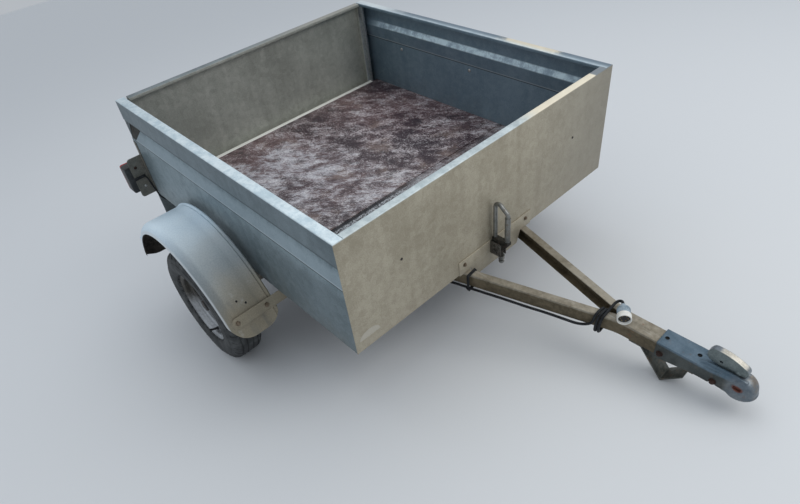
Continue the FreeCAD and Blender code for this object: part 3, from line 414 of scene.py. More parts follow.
# %% Helpers for finishes
class Value:
    """One output of a node; arithmetic on it adds Math nodes."""

    def __init__(self, finish, socket):
        self.finish = finish
        self.socket = socket

    def maths(self, operation, first, second=0.0):
        return self.finish.node("ShaderNodeMath", {"operation": operation}, {0: first, 1: second})

    def __add__(self, other):
        return self.maths("ADD", self, other)

    def __radd__(self, other):
        return self.maths("ADD", other, self)

    def __sub__(self, other):
        return self.maths("SUBTRACT", self, other)

    def __rsub__(self, other):
        return self.maths("SUBTRACT", other, self)

    def __mul__(self, other):
        return self.maths("MULTIPLY", self, other)

    def __rmul__(self, other):
        return self.maths("MULTIPLY", other, self)

    def most(self, other):
        return self.maths("MAXIMUM", self, other)

    def size(self):
        return self.maths("ABSOLUTE", self)

    def rise(self, start, end):
        """0 before start, 1 after end, and a soft slope between them."""
        return self.finish.node("ShaderNodeMapRange", {"interpolation_type": "SMOOTHSTEP"},
                                {"Value": self, "From Min": start, "From Max": end})

    def fall(self, start, end):
        """1 before start, 0 after end."""
        return 1.0 - self.rise(start, end)

    def near(self, place, reach):
        """1 at place, falling to 0 at reach to either side of it."""
        return (self - place).size().fall(reach * 0.5, reach)


class Finish:
    """A material made of one main shader and the nodes that vary it."""

    def __init__(self, name):
        self.material = bpy.data.materials.new(name)
        self.material.use_nodes = True
        self.tree = self.material.node_tree
        self.shader = self.tree.nodes["Principled BSDF"]
        self.colour = (0.5, 0.5, 0.5)

    @cached_property
    def row(self):
        """The place on the parked trailer, in metres."""
        return self.node("ShaderNodeTexCoord", {}, {}, "Object")

    @cached_property
    def level(self):
        """The same place along the level trailer's axes."""
        return self.node("ShaderNodeMapping", {}, {
            "Vector": self.row, "Rotation": (0.0, -PITCH, 0.0), "Location": TO_LEVEL.translation})

    @cached_property
    def ahead(self):
        return self.node("ShaderNodeSeparateXYZ", {}, {0: self.level}, "X")

    @cached_property
    def aside(self):
        return self.node("ShaderNodeSeparateXYZ", {}, {0: self.level}, "Y")

    @cached_property
    def height(self):
        return self.node("ShaderNodeSeparateXYZ", {}, {0: self.level}, "Z")

    def node(self, kind, settings, inputs, output=0):
        made = self.tree.nodes.new(kind)
        for name, value in settings.items():
            setattr(made, name, value)
        for name, value in inputs.items():
            self.feed(made.inputs[name], value)
        return Value(self, made.outputs[output])

    def feed(self, socket, value):
        if isinstance(value, Value):
            self.tree.links.new(value.socket, socket)
        elif socket.type == "RGBA":
            socket.default_value = (*value, 1.0)
        else:
            socket.default_value = value

    def noise(self, scale, detail=4.0, roughness=0.55, distortion=0.0, vector=None):
        return self.node("ShaderNodeTexNoise", {}, {
            "Vector": vector or self.row, "Scale": scale, "Detail": detail, "Roughness": roughness,
            "Distortion": distortion})

    def mixture(self, clouds, grain, share, start, end):
        """Broad clouds, fine grain, and a tone made of so large a share of clouds and the rest of grain."""
        clouds = self.noise(*clouds)
        grain = self.noise(*grain)
        return clouds, grain, (clouds * share + grain * (1.0 - share)).rise(start, end)

    def streaks(self, stretch, detail, roughness, distortion=0.0, turn=0.0):
        """Noise along the level trailer's axes, finest where stretch is highest, after a flat turn."""
        vector = self.level
        if turn:
            vector = self.node("ShaderNodeMapping", {}, {
                "Vector": vector, "Rotation": (0.0, 0.0, math.radians(turn))})
        vector = self.node("ShaderNodeMapping", {}, {"Vector": vector, "Scale": stretch})
        return self.noise(1.0, detail, roughness, distortion, vector)

    def cells(self, scale):
        """Flat-toned cells, as zinc crystals; the tone is one channel of the cell's colour."""
        colour = self.node("ShaderNodeTexVoronoi", {}, {"Vector": self.row, "Scale": scale}, "Color")
        return self.node("ShaderNodeSeparateColor", {}, {0: colour}, "Red")

    def specks(self, scale, size):
        """1 in small round spots, 0 elsewhere."""
        distance = self.node("ShaderNodeTexVoronoi", {}, {"Vector": self.row, "Scale": scale}, "Distance")
        return distance.fall(size * 0.6, size)

    def blend(self, low, high, mask):
        return self.node("ShaderNodeMix", {"data_type": "RGBA"}, {0: mask, 6: low, 7: high}, 2)

    def cover(self, colour, mask):
        """Lay one more coat over the finish, where the mask is high."""
        self.colour = self.blend(self.colour, colour, mask)

    def connect(self, inputs):
        for name, value in inputs.items():
            self.feed(self.shader.inputs[name], value)
        return self.material

    def done(self, rough, metal, relief, strength, depth):
        """Connect all that varies and hand the material over."""
        return self.connect({
            "Base Color": self.colour, "Roughness": rough, "Metallic": metal,
            "Normal": self.node("ShaderNodeBump", {}, {
                "Strength": strength, "Distance": depth, "Height": relief})})


def darker(colour, share):
    return tuple(channel * (1.0 - share) for channel in colour)


def paler(colour, share):
    return tuple(channel + share * (1.0 - channel) for channel in colour)


print("finish helpers ready")

# %% [markdown]
# Weathered zinc is a soft grey with crystals in it, clouded by years of rain: pale bloom where water
# stood, dark drips below, fine scratches. The same recipe dresses every galvanised piece. Only the tint
# changes: bluish on the sides, beige on the front, darker inside the tub. These tints are partly painted
# light: the sides are painted darker and bluish as faces in shade under the sky, the front paler and
# warmer as the lit face, which also carries dried road dirt.

# %% Zinc, plain and dirty
SHEET = 0.0015
RAIL_TOP_BAND = (TUB_HEIGHT - 0.0030, TUB_HEIGHT - 0.0006)


def zinc(name, dark, light, crystals=70.0, shine=0.55, rail=None, dirt=None, dirt_mask=None, extra=None,
         mirror=0.60):
    """Weathered zinc between two tones; the rail's top gets its painted highlights and shade, and dirt covers it
    where the mask is high.
    """
    finish = Finish(name)
    clouds = finish.noise(3.2, 3.0, 0.5, 0.3)
    drips = finish.streaks((30.0, 30.0, 2.0), 4.0, 0.6)
    grain = finish.noise(300.0, 3.0, 0.7)
    spangle = finish.cells(crystals)
    patches = finish.noise(17.0, 5.0, 0.65, 0.5)
    tone = clouds * 0.28 + drips * 0.16 + patches * 0.20 + spangle * 0.06 + grain * 0.30
    stain = finish.noise(12.0, 6.0, 0.7, 0.6).rise(0.57, 0.70)
    scratches = finish.streaks((7.0, 300.0, 260.0), 2.0, 0.5).rise(0.68, 0.76)
    pits = finish.specks(120.0, 0.15) * clouds.rise(0.45, 0.6)
    rough = 0.60 - shine * 0.25 + clouds * 0.16 + stain * 0.10
    metal = mirror - stain * 0.25
    finish.colour = finish.blend(dark, light, tone.rise(0.36, 0.64))
    finish.cover(darker(dark, 0.25), stain * 0.35)
    finish.cover(paler(light, 0.12), scratches * 0.35)
    finish.cover(darker(dark, 0.6), pits * 0.55)
    if extra:
        extra(finish)
    if rail:
        # painted highlights, sunlit stretches and shade on the rails' tops
        finish.cover(rail(finish), finish.height.rise(*RAIL_TOP_BAND) * (0.70 + 0.30 * drips))
    if dirt:
        dirty = dirt_mask(finish)
        finish.cover(dirt, dirty)
        rough = rough + dirty * 0.15
        metal = metal - dirty * 0.4
    return finish.done(rough, metal.most(0.1), clouds * 0.3 + grain * 0.6 + spangle * 0.1, 0.16, 0.0010)


def low_dirt(finish):
    """Dried splashes near the foot of the tub, ragged at their upper edge."""
    return ((0.10 - finish.height) * 5.0 + finish.noise(22.0, 5.0, 0.7) - 0.45).rise(0.0, 1.0) * 0.45


def patchy_dirt(finish):
    return finish.noise(9.0, 6.0, 0.7).rise(0.46, 0.66) * 0.6


# %% [markdown]
# The rails' tops face the open sky, so they are what the eye sees first. Their brightness is painted light,
# partly edge wear: each has its own painted bright, sunlit and shaded stretches, read from the photograph
# and given here as places along or across the trailer.

# %% The rails' tops
FAR_SIDE = (0.46, 0.49)
FAR_RAIL_SHADED = (-0.42, -0.24)
FAR_RAIL_SUNLIT = (0.14, 0.20)
FAR_RAIL_SUNLIT_ENDS = (0.36, 0.39)
FRONT_RAIL_SUNLIT = (0.09, 0.18)
FRONT_RAIL_SHADED = (0.413, 0.421)
GATE_RAIL_LIT = (-0.10, 0.30)


def mottle(finish):
    return finish.noise(30.0, 5.0, 0.75).rise(0.35, 0.65)


def side_rail(finish):
    """Painted light: almost white as a highlight from the open sky, partly edge wear; the far rail is dull in
    painted shade, with a painted sunlit cream stretch near its front.
    """
    mottled = mottle(finish)
    ahead = finish.ahead + (mottled - 0.5) * 0.03
    bright = finish.blend((0.58, 0.71, 0.78), (0.84, 0.94, 0.98), mottled)
    far = finish.blend((0.80, 0.85, 0.86), (0.19, 0.24, 0.29), ahead.rise(*FAR_RAIL_SHADED))
    sunlit_patch = ahead.rise(*FAR_RAIL_SUNLIT) * ahead.fall(*FAR_RAIL_SUNLIT_ENDS)
    far = finish.blend(far, (0.84, 0.76, 0.60), sunlit_patch)
    return finish.blend(bright, far, finish.aside.rise(*FAR_SIDE))


def front_rail(finish):
    """Painted light: bluish near the camera, then a painted sunlit cream stretch, and painted shade again in the
    far corner.
    """
    tone = finish.blend((0.48, 0.57, 0.61), (0.68, 0.77, 0.80), mottle(finish))
    tone = finish.blend(tone, (0.95, 0.88, 0.72), finish.aside.rise(*FRONT_RAIL_SUNLIT))
    return finish.blend(tone, (0.24, 0.28, 0.32), finish.aside.rise(*FRONT_RAIL_SHADED))


def gate_rail(finish):
    """Painted light: dull as in shade, but painted paler towards the far corner."""
    dull = finish.blend((0.13, 0.16, 0.18), (0.24, 0.28, 0.30), finish.noise(9.0, 5.0, 0.7).rise(0.35, 0.65))
    return finish.blend(dull, (0.34, 0.34, 0.31), finish.aside.rise(*GATE_RAIL_LIT))


# %% The walls' painted light and own marks
GROOVE_TOP = 0.274
GROOVE_RIDGE = 0.257
GROOVE_BOTTOM = 0.210
LEDGE_TOP = 0.235
FLANGE_LAP = 0.018
FLANGE_TOP = 0.198
CRACK = 0.0022
EDGE = 0.001
MOON_Y = -0.455
MOON_Z = 0.033
MOON_HALF_WIDTH = 1.0 / 30.0
MOON_HEIGHT = 1.0 / 44.0


def pressed_groove(finish):
    """Painted light on the walls: painted shade under the upper strip, in the undercut and on the near wall's
    lower front, painted highlights on the sloping ledges and along the groove's lower edge, a painted shadow line
    below it, and a painted sky reflection on the far wall.
    """
    height = finish.height
    ahead = finish.ahead
    far_side = finish.aside.rise(-0.10, 0.10)
    near_side = 1.0 - far_side
    # painted sky reflection on the far wall, painted shade on the near wall's lower front
    finish.cover((0.17, 0.28, 0.40), far_side * 0.42)
    finish.cover((0.085, 0.105, 0.115), ahead.rise(-0.10, 0.40) * height.fall(0.16, 0.21) * near_side * 0.40)
    band = height.near((GROOVE_TOP + GROOVE_RIDGE) / 2, (GROOVE_TOP - GROOVE_RIDGE) * 0.7)
    strip = height.rise(GROOVE_TOP - 2 * EDGE, GROOVE_TOP + 2 * EDGE)
    # painted shade on the upper strip and in the undercut below it
    finish.cover((0.120, 0.140, 0.155), strip * near_side * 0.45)
    finish.cover((0.055, 0.068, 0.080), band * near_side * 0.85)
    # painted highlight on the far wall's sloping face
    mottled = finish.noise(26.0, 5.0, 0.75).rise(0.36, 0.64)
    mottled = finish.blend((0.36, 0.47, 0.56), (0.78, 0.94, 1.0), mottled)
    finish.cover(mottled, band * far_side * ahead.rise(REAR + 0.03, REAR + 0.15) * 0.9)
    # painted highlight on the near ledge and along the groove's lower edge
    ledge = height.rise(GROOVE_BOTTOM - EDGE, GROOVE_BOTTOM + EDGE) * height.fall(LEDGE_TOP, GROOVE_RIDGE)
    finish.cover((0.38, 0.46, 0.51), ledge * near_side * 0.55)
    finish.cover((0.50, 0.57, 0.60), height.near(GROOVE_BOTTOM + 0.0008, 0.0022) * 0.6)
    crack = ahead.near(REAR + FLANGE_LAP + EDGE, CRACK) * height.fall(FLANGE_TOP - 2 * EDGE, FLANGE_TOP)
    finish.cover((0.030, 0.031, 0.030), crack * near_side * 0.85)
    # painted shadow line under the groove's lower fold
    finish.cover((0.050, 0.058, 0.065), height.near(GROOVE_BOTTOM - 0.0024, 0.0020) * 0.8)


def half_moon(finish):
    """A bare pale half disc at the foot of the front wall, where something was once screwed on."""
    across = (finish.aside - MOON_Y) * (1.0 / MOON_HALF_WIDTH)
    height = (finish.height - MOON_Z) * (1.0 / MOON_HEIGHT)
    inside = (across * across + height * height).fall(0.80, 1.0)
    finish.cover((0.60, 0.58, 0.52), inside * height.rise(-0.05, 0.05) * 0.6)
    finish.cover((0.21, 0.20, 0.175), finish.aside.rise(0.05, 0.50) * 0.55)


# painted light in the tones: the sides darker and bluish as shaded faces, the front and the gate paler as lit
# faces
side_zinc = zinc("zinc_side", (0.145, 0.195, 0.215), (0.315, 0.390, 0.425), rail=side_rail,
                 extra=pressed_groove, dirt=(0.17, 0.155, 0.13), dirt_mask=low_dirt)
front_zinc = zinc("zinc_front", (0.320, 0.285, 0.215), (0.490, 0.450, 0.360), shine=0.3, rail=front_rail,
                  extra=half_moon, dirt=(0.34, 0.30, 0.24), dirt_mask=low_dirt)
gate_zinc = zinc("zinc_gate", (0.320, 0.335, 0.300), (0.530, 0.545, 0.500), shine=0.4, rail=gate_rail,
                 dirt=(0.26, 0.24, 0.20), dirt_mask=low_dirt)
trim_zinc = zinc("zinc_trim", (0.20, 0.22, 0.23), (0.42, 0.45, 0.46), crystals=160.0, shine=0.7)
# painted highlight: the sill is near white as a lit strip
sill_zinc = zinc("zinc_sill", (0.84, 0.83, 0.77), (0.97, 0.96, 0.92), crystals=160.0, shine=0.5, mirror=0.15)
dull_zinc = zinc("zinc_dull", (0.15, 0.145, 0.125), (0.28, 0.27, 0.24), crystals=160.0, shine=0.3,
                 dirt=(0.17, 0.13, 0.09), dirt_mask=patchy_dirt)
print("zinc finishes ready")

# %% [markdown]
# The mudguards change along their length: their rear half is painted pale blue-grey as a reflection of the
# sky, while the front half has caught the dust of the road. A mask along the trailer blends one into the
# other. Feet and loads have rubbed dark smears into their crowns, and the rolled lip is painted with a
# highlight.

# %% Mudguard zinc
GUARD_PAST_TYRE = 0.007
GUARD_OUTER = WHEEL_Y + TYRE_WIDTH / 2 + GUARD_PAST_TYRE
GUARD_CROWN = (-0.13, 0.12)
GUARD_FRONT = (0.09, 0.20)


def guard_finish():
    finish = Finish("zinc_guard")
    clouds, grain, tone = finish.mixture((5.0, 3.0, 0.5, 0.4), (320.0, 3.0, 0.7), 0.55, 0.32, 0.68)
    drift = finish.ahead + (clouds - 0.5) * 0.12
    smears = finish.streaks((5.0, 20.0, 5.0), 4.0, 0.65).rise(0.58, 0.74)
    pale = finish.noise(24.0, 5.0, 0.7).rise(0.60, 0.74)
    lip_highlight = finish.aside.size().rise(GUARD_OUTER - 0.0040, GUARD_OUTER - 0.0014)
    # painted reflection: the base tone is the rear half's pale blue-grey sky reflection
    finish.colour = finish.blend((0.560, 0.700, 0.810), (0.780, 0.910, 0.990), tone)
    finish.cover(finish.blend((0.220, 0.255, 0.270), (0.330, 0.365, 0.380), tone), drift.rise(*GUARD_CROWN))
    finish.cover(finish.blend((0.205, 0.182, 0.134), (0.310, 0.280, 0.215), tone), drift.rise(*GUARD_FRONT))
    finish.cover((0.11, 0.125, 0.14), smears * 0.30)
    finish.cover((0.46, 0.49, 0.50), pale * 0.20)
    # painted highlight along the rolled lip
    finish.cover((0.70, 0.74, 0.76), lip_highlight * 0.7)
    metal = 0.45 + drift.rise(*GUARD_CROWN) * 0.15 - pale * 0.3
    return finish.done(0.40 + clouds * 0.2 + smears * 0.1, metal, clouds * 0.5 + grain * 0.5, 0.15, 0.0010)


guard_zinc = guard_finish()

# %% [markdown]
# The drawbar's zinc has gone tan, an even brown bloom. Its top is painted paler as the lit face, with
# painted highlights in pale streaks along it, and the upright webs are deeper brown. The wheel rims, the
# coupling and the bolts get recipes of their own.

# %% Drawbar and coupling
SLOT_X = 1.196
SLOT_Z = -0.0063
SLOT_LONG = 0.0115
SLOT_HIGH = 0.0052
NOSE_BARE_AND_LIT = (1.165, 1.185)
COUPLING_HOLES = (1.030, 1.104)
HOLE_RADIUS = 0.0043
HOLE_RIM = 0.0054


def drawbar_finish():
    finish = Finish("zinc_drawbar")
    clouds, grain, tone = finish.mixture((8.0, 5.0, 0.65, 0.5), (90.0, 4.0, 0.65), 0.6, 0.34, 0.62)
    lit_top = finish.blend((0.200, 0.176, 0.132), (0.360, 0.330, 0.270), tone)
    highlight_streaks = finish.streaks((6.0, 60.0, 60.0), 4.0, 0.6).rise(0.60, 0.70)
    rust = (finish.noise(26.0, 6.0, 0.7) * 0.7 + finish.noise(120.0, 2.0) * 0.3).rise(0.58, 0.68)
    finish.colour = finish.blend((0.075, 0.060, 0.036), (0.165, 0.134, 0.086), tone)
    # painted light: the top paler as the lit face
    finish.cover(lit_top, (finish.height + (clouds - 0.5) * 0.006).rise(-0.0085, -0.0030))
    # painted highlights in pale streaks along the top
    finish.cover((0.52, 0.51, 0.48), highlight_streaks * finish.height.rise(-0.006, -0.002) * 0.55)
    finish.cover((0.17, 0.075, 0.032), rust * 0.5)
    return finish.done(0.52 + clouds * 0.2 + rust * 0.15, 0.5 - rust * 0.35, clouds * 0.4 + grain * 0.6,
                       0.3, 0.0012)


def coupling_finish():
    """Dark cheeks and a bluish top, the top a painted sky reflection; a nose painted paler as bare metal with a
    painted highlight, rust round the slots, and painted shade, near black, in the drain holes.
    """
    finish = Finish("zinc_coupling")
    ahead = finish.ahead
    clouds, grain, tone = finish.mixture((16.0, 5.0, 0.6, 0.5), (260.0, 3.0, 0.6), 0.8, 0.32, 0.66)
    lit_top = finish.blend((0.080, 0.125, 0.165), (0.155, 0.215, 0.270), tone)
    nose = (ahead + (clouds - 0.5) * 0.02).rise(*NOSE_BARE_AND_LIT)
    tarnish = finish.noise(22.0, 4.0, 0.6).rise(0.50, 0.64)
    rust = finish.noise(60.0, 6.0, 0.7).rise(0.57, 0.68)
    finish.colour = finish.blend((0.042, 0.050, 0.050), (0.095, 0.106, 0.104), tone)
    # painted sky reflection on the top
    finish.cover(lit_top, (finish.height + (clouds - 0.5) * 0.004).rise(-0.004, 0.0015))
    # the nose: bare metal with a painted highlight
    finish.cover(finish.blend((0.095, 0.125, 0.155), (0.230, 0.255, 0.275), tone), nose * 0.85)
    finish.cover((0.26, 0.19, 0.12), tarnish * nose * 0.55)
    finish.cover((0.10, 0.055, 0.035), rust * 0.4)
    along_slot = (ahead - SLOT_X) * (1.0 / SLOT_LONG)
    up_slot = (finish.height - SLOT_Z) * (1.0 / SLOT_HIGH)
    spread = along_slot * along_slot + up_slot * up_slot + (clouds - 0.5) * 0.8
    finish.cover((0.16, 0.048, 0.028), spread.fall(0.4, 1.4) * 0.9)
    # painted shade, near black, in the drain holes
    for hole_x in COUPLING_HOLES:
        from_hole = (ahead - hole_x) * (ahead - hole_x) + finish.aside * finish.aside
        finish.cover((0.012, 0.012, 0.013), from_hole.fall(HOLE_RADIUS ** 2, HOLE_RIM ** 2))
    return finish.done(0.45 + clouds * 0.18 - nose * 0.12, 0.72 - rust * 0.4, clouds * 0.5 + grain * 0.5,
                       0.12, 0.0006)


drawbar_zinc = drawbar_finish()
coupling_zinc = coupling_finish()

# %% Rims, lever and small plated parts
LEVER_BARE = (1.136, 1.146)
LEVER_BARE_ENDS = (1.188, 1.202)
LEVER_BACK = (0.0062, 0.0074)
RUST = (0.12, 0.050, 0.026)


def rim_finish():
    """Dark brown above, and brighter towards the foot as a painted highlight."""
    finish = Finish("zinc_rim")
    clouds, grain, tone = finish.mixture((14.0, 4.0, 0.6), (200.0, 3.0, 0.6), 0.6, 0.34, 0.66)
    # painted highlight: brighter towards the foot
    low = (AXLE_LEVEL.z - finish.height + (clouds - 0.5) * 0.04).rise(-0.01, 0.085)
    finish.colour = finish.blend((0.036, 0.034, 0.030), (0.098, 0.088, 0.074), tone)
    finish.cover(finish.blend((0.24, 0.25, 0.26), (0.46, 0.48, 0.50), tone), low)
    return finish.done(0.46 - low * 0.14, 0.7, clouds * 0.4 + grain * 0.6, 0.15, 0.0006)


def lever_finish():
    """Bright worn strip along the back, darker cheeks."""
    finish = Finish("zinc_lever")
    clouds, grain, tone = finish.mixture((40.0, 4.0, 0.6), (260.0, 3.0, 0.6), 0.5, 0.34, 0.66)
    back = finish.blend((0.46, 0.44, 0.38), (0.70, 0.67, 0.60), tone)
    cheek = finish.blend((0.120, 0.150, 0.155), (0.210, 0.245, 0.245), tone)
    spots = finish.noise(90.0, 5.0, 0.7).rise(0.62, 0.72)
    finish.colour = finish.blend((0.130, 0.150, 0.175), (0.230, 0.260, 0.285), tone)
    finish.cover(back, finish.ahead.rise(*LEVER_BARE) * finish.ahead.fall(*LEVER_BARE_ENDS))
    finish.cover(cheek, finish.aside.size().rise(*LEVER_BACK))
    finish.cover((0.12, 0.08, 0.055), spots * 0.5)
    return finish.done(0.34 + clouds * 0.15, 0.7 - spots * 0.4, grain, 0.12, 0.0005)


def metal_finish(name, dark, light, rust, amount, scale, rough):
    """A small plated part with rust coming through."""
    finish = Finish(name)
    clouds, grain, tone = finish.mixture((scale, 5.0, 0.65), (scale * 5.0, 3.0), 0.6, 0.34, 0.62)
    spots = finish.noise(scale * 1.7, 5.0, 0.7) * 0.7 + grain * 0.3
    spots = spots.rise(0.62 - amount * 0.3, 0.70 - amount * 0.2)
    finish.colour = finish.blend(dark, light, tone)
    finish.cover(rust, spots * 0.85)
    return finish.done(rough + spots * 0.25, 0.8 - spots * 0.7, clouds * 0.4 + grain * 0.6, 0.25, 0.0006)


METALS = (
    # name, dark tone, light tone, rust, amount of rust, scale, roughness
    ("zinc_bolt", (0.28, 0.28, 0.27), (0.55, 0.55, 0.54), RUST, 0.15, 120.0, 0.35),
    ("rusty_bolt", (0.026, 0.017, 0.015), (0.055, 0.033, 0.027), (0.040, 0.018, 0.013), 0.8, 120.0, 0.7),
    ("brown_bolt", (0.13, 0.10, 0.070), (0.24, 0.20, 0.15), RUST, 0.3, 120.0, 0.55),
    ("zinc_latch", (0.15, 0.155, 0.15), (0.26, 0.265, 0.255), (0.12, 0.09, 0.06), 0.2, 24.0, 0.4),
    ("rusty_latch", (0.014, 0.015, 0.014), (0.060, 0.060, 0.053), (0.060, 0.036, 0.025), 0.4, 90.0, 0.6),
    ("worn_bracket", (0.020, 0.019, 0.017), (0.230, 0.225, 0.205), (0.045, 0.030, 0.021), 0.5, 70.0, 0.5),
    ("zinc_foot", (0.050, 0.056, 0.052), (0.125, 0.130, 0.118), (0.10, 0.075, 0.05), 0.3, 30.0, 0.5),
    ("dark_steel", (0.035, 0.035, 0.035), (0.09, 0.09, 0.088), (0.10, 0.06, 0.035), 0.4, 60.0, 0.5),
    ("guard_underside", (0.018, 0.016, 0.014), (0.060, 0.052, 0.044), (0.05, 0.04, 0.03), 0.4, 30.0, 0.8),
    ("dull_brass", (0.20, 0.15, 0.07), (0.36, 0.28, 0.14), RUST, 0.2, 200.0, 0.4),
)
metal = {name: metal_finish(name, *row) for name, *row in METALS}
rim_zinc = rim_finish()
lever_zinc = lever_finish()
print("metal finishes ready")

# %% [markdown]
# The floor is film-faced plywood: a thin dark red-brown skin over wood, worn grey by loads dragged
# across it. Blotches of wear, sand and black damp lie over one another, drawn out a little across the
# trailer. The front board is painted dark as shade from the front wall, but for a pale speckled line
# beside the joint.

# %% The floor's film
JOINT_X = level_box("floor_board_front")[0].x
ASKEW = -40.0
TRODDEN_X = -0.25
TRODDEN_Y = -0.10
TRODDEN_LONG = 1.0 / 3.3
TRODDEN_WIDE = 1.0 / 3.0
UNTRODDEN = (-0.46, -0.33)


def floor_finish(name, extra=None, rough=0.46):
    finish = Finish(name)
    blotch = finish.streaks((14.0, 24.0, 10.0), 6.0, 0.74, 0.35, ASKEW)
    broad = finish.noise(2.6, 3.0, 0.5)
    grained = finish.streaks((95.0, 26.0, 20.0), 5.0, 0.76, 0.4)
    dragged = finish.streaks((26.0, 110.0, 20.0), 5.0, 0.76, 0.4, ASKEW)
    fine = finish.streaks((150.0, 420.0, 100.0), 4.0, 0.75, 0.0, ASKEW)
    black = finish.streaks((18.0, 44.0, 10.0), 5.0, 0.74, 0.3, ASKEW).rise(0.54, 0.63)
    along = grained * 0.30 + dragged * 0.70
    from_middle = (finish.ahead - TRODDEN_X) * (1.0 / TRODDEN_LONG)
    from_side = (finish.aside - TRODDEN_Y) * (1.0 / TRODDEN_WIDE)
    trodden = (from_middle * from_middle + from_side * from_side).fall(0.1, 1.0)
    untrodden = (finish.ahead + (blotch - 0.5) * 0.3).fall(*UNTRODDEN)
    wear = blotch * 0.36 + along * 0.38 + broad * 0.26 + (finish.ahead + 0.10) * 0.07 - finish.aside * 0.06
    worn = (wear + trodden * 0.024 - untrodden * 0.050).rise(0.482, 0.588)
    sandy = (finish.noise(5.5, 5.0, 0.65) + finish.ahead * 0.15).rise(0.50, 0.62)
    dust = (fine * 0.62 + blotch * 0.38).rise(0.515, 0.575)
    film = (blotch * 0.5 + broad * 0.5).rise(0.38, 0.60)
    finish.colour = finish.blend((0.036, 0.022, 0.030), (0.160, 0.096, 0.098), film)
    finish.cover((0.42, 0.435, 0.48), worn * 0.78)
    finish.cover((0.27, 0.20, 0.165), sandy * 0.35)
    finish.cover((0.026, 0.022, 0.028), black * 0.60)
    finish.cover((0.78, 0.76, 0.78), dust * 0.55)
    if extra:
        extra(finish)
    return finish.done(rough + worn * 0.25, 0.0, along * 0.4 + fine * 0.4 + dust * 0.2, 0.25, 0.0008)


def dark_front_edge(finish):
    """Painted shade from the wall darkens the front board, but for a pale speckled line along the joint."""
    grime = finish.noise(60.0, 5.0, 0.7).rise(0.45, 0.65)
    speckled = finish.noise(220.0, 4.0, 0.75).rise(0.44, 0.56) * (finish.ahead - JOINT_X).near(0.020, 0.010)
    shade = 1.0 - finish.aside.rise(-0.12, 0.22) * 0.75
    finish.cover(finish.blend((0.005, 0.008, 0.012), (0.026, 0.032, 0.040), grime), shade * 0.9)
    finish.cover((0.52, 0.55, 0.58), speckled * shade * 0.8)


rear_floor = floor_finish("floor_film_rear")
front_floor = floor_finish("floor_film_front", dark_front_edge, 0.72)
print("joint of the boards at", JOINT_X)

# %% Rubber, plastics and lens
def tyre_finish():
    finish = Finish("tyre_rubber")
    dusty = finish.noise(24.0, 5.0, 0.7).rise(0.40, 0.66)
    fine = finish.noise(190.0, 4.0, 0.7)
    finish.colour = finish.blend((0.022, 0.024, 0.026), (0.078, 0.083, 0.084), dusty * 0.7 + fine * 0.3)
    return finish.done(0.72 + fine * 0.16, 0.0, fine * 0.6 + dusty * 0.4, 0.3, 0.0006)


def plastic(name, dark, light, rough, scale=60.0):
    finish = Finish(name)
    worn, fine, tone = finish.mixture((scale, 5.0, 0.65), (scale * 7.0, 3.0), 0.7, 0.36, 0.66)
    finish.colour = finish.blend(dark, light, tone)
    return finish.done(rough + worn * 0.15, 0.0, fine * 0.6 + worn * 0.4, 0.18, 0.0004)


rubber = tyre_finish()
black_plastic = plastic("black_plastic", (0.012, 0.012, 0.013), (0.040, 0.040, 0.042), 0.42)
lens_red = plastic("lens_red", (0.30, 0.012, 0.010), (0.42, 0.030, 0.022), 0.16, 20.0)
plug_pale = plastic("plug_pale", (0.19, 0.25, 0.30), (0.36, 0.43, 0.49), 0.38)
plug_white = plastic("plug_collar", (0.60, 0.60, 0.57), (0.76, 0.76, 0.73), 0.35)
cable_rubber = plastic("cable_rubber", (0.006, 0.007, 0.009), (0.022, 0.025, 0.028), 0.5, 90.0)
cable_rubber.node_tree.nodes["Principled BSDF"].inputs["Specular IOR Level"].default_value = 0.25
print("floor, rubber and plastic finishes ready")

# %% [markdown]
# The lamp cable comes first after the camera. It leaves its sleeve under the tub, runs loosely along
# the lower edge of the right arm, is wound round that arm near the nose, and curls into the back of the
# plug that lies on top of the drawbar. It is a single soft spline: its control points are listed along
# the arm, and the turns of the winding are worked out, each a little different from the last.

# %% The lamp cable
CABLE_DIAMETER = 0.007
ARM_BEND_X = 0.90336
ARM_BEND_Y = 0.02761
ARM_SLANT = 0.28146
ARM_HALF_WIDTH = 0.0105
ARM_MIDDLE_Z = -0.0203
WINDING_START_X = 0.8705
WINDING_START_DEGREES = 222.0
WINDING_REACH = 0.0190
WINDING_RISE = 0.0285
WINDING_LEAN = 0.002
TURNS = 2.36
TURN_STEP = 0.0082
SQUARENESS = 0.7
POINTS_IN_A_TURN = 10
RUN_POINTS = (
    # x, distance out from the arm, z
    (0.5060, 0.0044, -0.0444),
    (0.5410, 0.0042, -0.0446),
    (0.5860, 0.0046, -0.0452),
    (0.6400, 0.0042, -0.0446),
    (0.7020, 0.0050, -0.0456),
    (0.7630, 0.0044, -0.0448),
    (0.8060, 0.0052, -0.0460),
    (0.8420, 0.0056, -0.0464),
)
LEAD_POINTS = (
    # x, y, z
    (0.8890, 0.0085, 0.0058),
    (0.8898, 0.0165, 0.0086),
    (0.8925, 0.0226, 0.0114),
    (0.8984, 0.0254, 0.0144),
    (0.90506, 0.02216, 0.0170),
    (0.9095, 0.0155, 0.0170),
)


def arm_outer_y(x):
    """How far the right arm's outer face stands from the middle, on its slanted stretch."""
    return ARM_BEND_Y + ARM_SLANT * (ARM_BEND_X - x)


def squared(share):
    """Bring a sine or cosine nearer to its ends, so that a turn hugs the arm's square section."""
    return math.copysign(abs(share) ** SQUARENESS, share)


